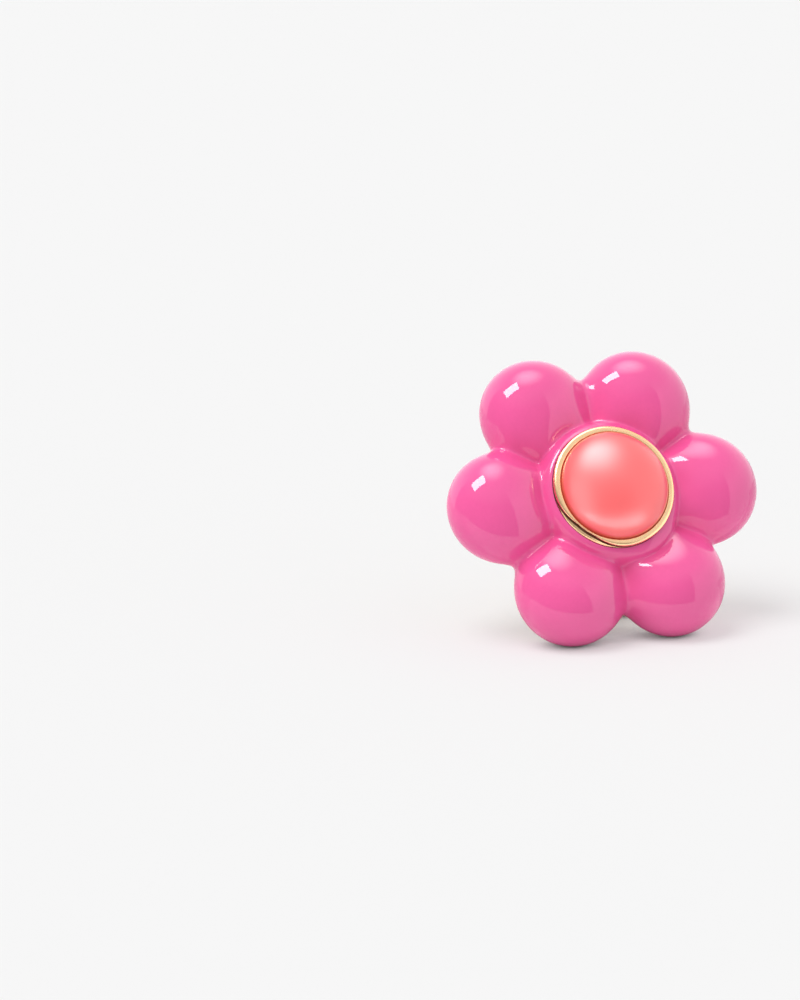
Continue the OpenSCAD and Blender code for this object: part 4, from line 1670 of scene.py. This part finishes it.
class EARRING_OT_stage(bpy.types.Operator):
    """Set the pale floor, the soft light and the camera"""
    bl_idname = "earring.stage"
    bl_label = "Stage"

    FLOOR_HALF = 4.0
    FLOOR_PAPER = (0.38, 0.47)
    # what the piece mirrors of the floor, brighter before it than behind it: name,
    # nearer and farther edge, brightness and shine
    TABLE_HALF = 0.5
    TABLE_Z = 0.02 * MM
    TABLE = (("table_before", -0.032, -0.006, 0.90, 0.30),
             ("table_behind", -0.006, 0.5, 0.84, 0.0))

    # the lights' directions, and the slope of the softbox's long side, are along the
    # camera's axes; sizes and distances in metres, powers in watts
    LIGHTS_AWAY = 0.60
    SOFTBOX_TOWARDS = (-0.436, 0.804, 0.404)
    SOFTBOX_SLOPE = math.radians(38.0)
    SOFTBOX_SIZE = (0.28, 0.19)
    KEY_TOWARDS = (-0.36, 0.84, 0.41)
    KEY_SOFT = math.radians(36.0)
    # the satin stone shows these instead of the softbox: bright sheets above and below
    # it and a dim one at the left, each with its direction, size and power
    SHEETS = (
        ("sheet_above", (0.07, 0.90, 0.42), (0.38, 0.33), 2.6),
        ("sheet_left", (-0.46, 0.00, 0.88), (0.60, 0.85), 3.1),
        ("sheet_below", (0.26, -0.68, 0.68), (1.30, 0.60), 16.0),
    )

    # the flower's middle stands right of the picture's middle and a little below it
    OFF_RIGHT = 18.66 * MM
    OFF_DOWN = 1.08 * MM
    PIXELS_PER_MM = 10.18
    PICTURE_LONG = 1000
    SENSOR = 36.0
    CLIP = (0.05, 20.0)

    def gloss_light(self, name, towards, along, size, power, pieces):
        """A rectangle of light that is only seen mirrored, by the pieces it is for."""
        towards = towards.normalized()
        along = (along - towards * along.dot(towards)).normalized()
        box = bpy.data.lights.new(name, "AREA")
        box.shape = "RECTANGLE"
        box.size, box.size_y = size
        box.energy = power
        lamp = add_object(name, box)
        axes = Matrix((along, towards.cross(along), towards)).transposed().to_4x4()
        place = Matrix.Translation(FLOWER_MIDDLE + towards * self.LIGHTS_AWAY)
        lamp.matrix_world = place @ axes
        only_mirrored(lamp)
        lamp.light_linking.receiver_collection = named_collection(pieces)

    def floor(self):
        """The pale floor, and the stretches of table that stand for it in the gloss."""
        half = self.FLOOR_HALF
        floor = flat_card("pale_floor", half, -half, half)
        floor.data.materials.append(paper("floor_paper", *self.FLOOR_PAPER))
        floor.visible_glossy = False
        for name, near, far, brightness, shining in self.TABLE:
            table = flat_card(name, self.TABLE_HALF, near, far, self.TABLE_Z)
            table.data.materials.append(paper(name + "_paper", brightness, shining))
            only_mirrored(table)

    def lights(self, studio, right, up, seen_from):
        """The small softbox, the stone's sheets and the broad key light."""
        slope = self.SOFTBOX_SLOPE
        along = right * math.cos(slope) + up * math.sin(slope)
        self.gloss_light("softbox", seen_from @ Vector(self.SOFTBOX_TOWARDS), along,
                         self.SOFTBOX_SIZE, studio.softbox, SCREENED)
        for name, towards, size, power in self.SHEETS:
            self.gloss_light(name, seen_from @ Vector(towards), right, size, power, STONE_ONLY)
        broad = bpy.data.lights.new("key_light", "SUN")
        broad.energy = studio.key
        broad.angle = self.KEY_SOFT
        key = add_object("key_light", broad)
        key_from = (seen_from @ Vector(self.KEY_TOWARDS)).normalized()
        key.rotation_mode = "QUATERNION"
        key.rotation_quaternion = key_from.to_track_quat("Z", "Y")
        key.visible_glossy = False

    def camera(self, scene, right, up, back):
        """The camera in front of the earring."""
        distance = scene.earring_studio.distance
        lens = bpy.data.cameras.new("camera")
        lens.sensor_width = self.SENSOR
        focal_pixels = self.PIXELS_PER_MM * distance / MM
        lens.lens = focal_pixels * self.SENSOR / self.PICTURE_LONG
        lens.clip_start, lens.clip_end = self.CLIP
        camera = add_object("camera", lens)
        looked_at = FLOWER_MIDDLE - right * self.OFF_RIGHT + up * self.OFF_DOWN
        camera.location = looked_at + back * distance
        camera.rotation_mode = "QUATERNION"
        camera.rotation_quaternion = back.to_track_quat("Z", "Y")
        scene.camera = camera

    def execute(self, context):
        scene = context.scene
        studio = scene.earring_studio
        right, up, back = camera_axes(studio)
        self.floor()
        light_room(scene)
        self.lights(studio, right, up, Matrix((right, up, back)).transposed())
        self.camera(scene, right, up, back)
        scene.view_settings.view_transform = "Standard"
        return {"FINISHED"}


# Panel


STEPS = (
    EARRING_OT_stage,
    EARRING_OT_petals,
    EARRING_OT_bezel,
    EARRING_OT_stone,
    EARRING_OT_back_rim,
    EARRING_OT_plate,
    EARRING_OT_bracket,
    EARRING_OT_post,
    EARRING_OT_oval,
    EARRING_OT_clip,
    EARRING_OT_pin,
)
GROUPS = {
    "earring_petals": EarringPetalSizes,
    "earring_stone": EarringStoneSizes,
    "earring_back": EarringBackSizes,
    "earring_clip": EarringClipSizes,
    "earring_finishes": EarringFinishes,
    "earring_studio": EarringStudio,
}


class EARRING_PT_panel(bpy.types.Panel):
    """Sizes, finishes and buttons of the earring"""
    bl_idname = "EARRING_PT_panel"
    bl_label = "Flower Earring"
    bl_space_type = "VIEW_3D"
    bl_region_type = "UI"
    bl_category = "Earring"

    def draw(self, context):
        for group in GROUPS:
            box = self.layout.box()
            sizes = getattr(context.scene, group)
            for name in sizes.__annotations__:
                box.prop(sizes, name)
        for step in STEPS:
            self.layout.operator(step.bl_idname)


def register():
    """Registers the sizes, the buttons and the panel."""
    for made in (*GROUPS.values(), *STEPS, EARRING_PT_panel):
        bpy.utils.register_class(made)
    for name, group in GROUPS.items():
        setattr(bpy.types.Scene, name, PointerProperty(type=group))


def unregister():
    """Takes all of them back."""
    for name in GROUPS:
        delattr(bpy.types.Scene, name)
    for made in (EARRING_PT_panel, *reversed(STEPS), *GROUPS.values()):
        bpy.utils.unregister_class(made)


def main():
    """Builds the earring step by step."""
    register()
    for step in STEPS:
        family, name = step.bl_idname.split(".")
        getattr(getattr(bpy.ops, family), name)()


if __name__ == "__main__":
    main()
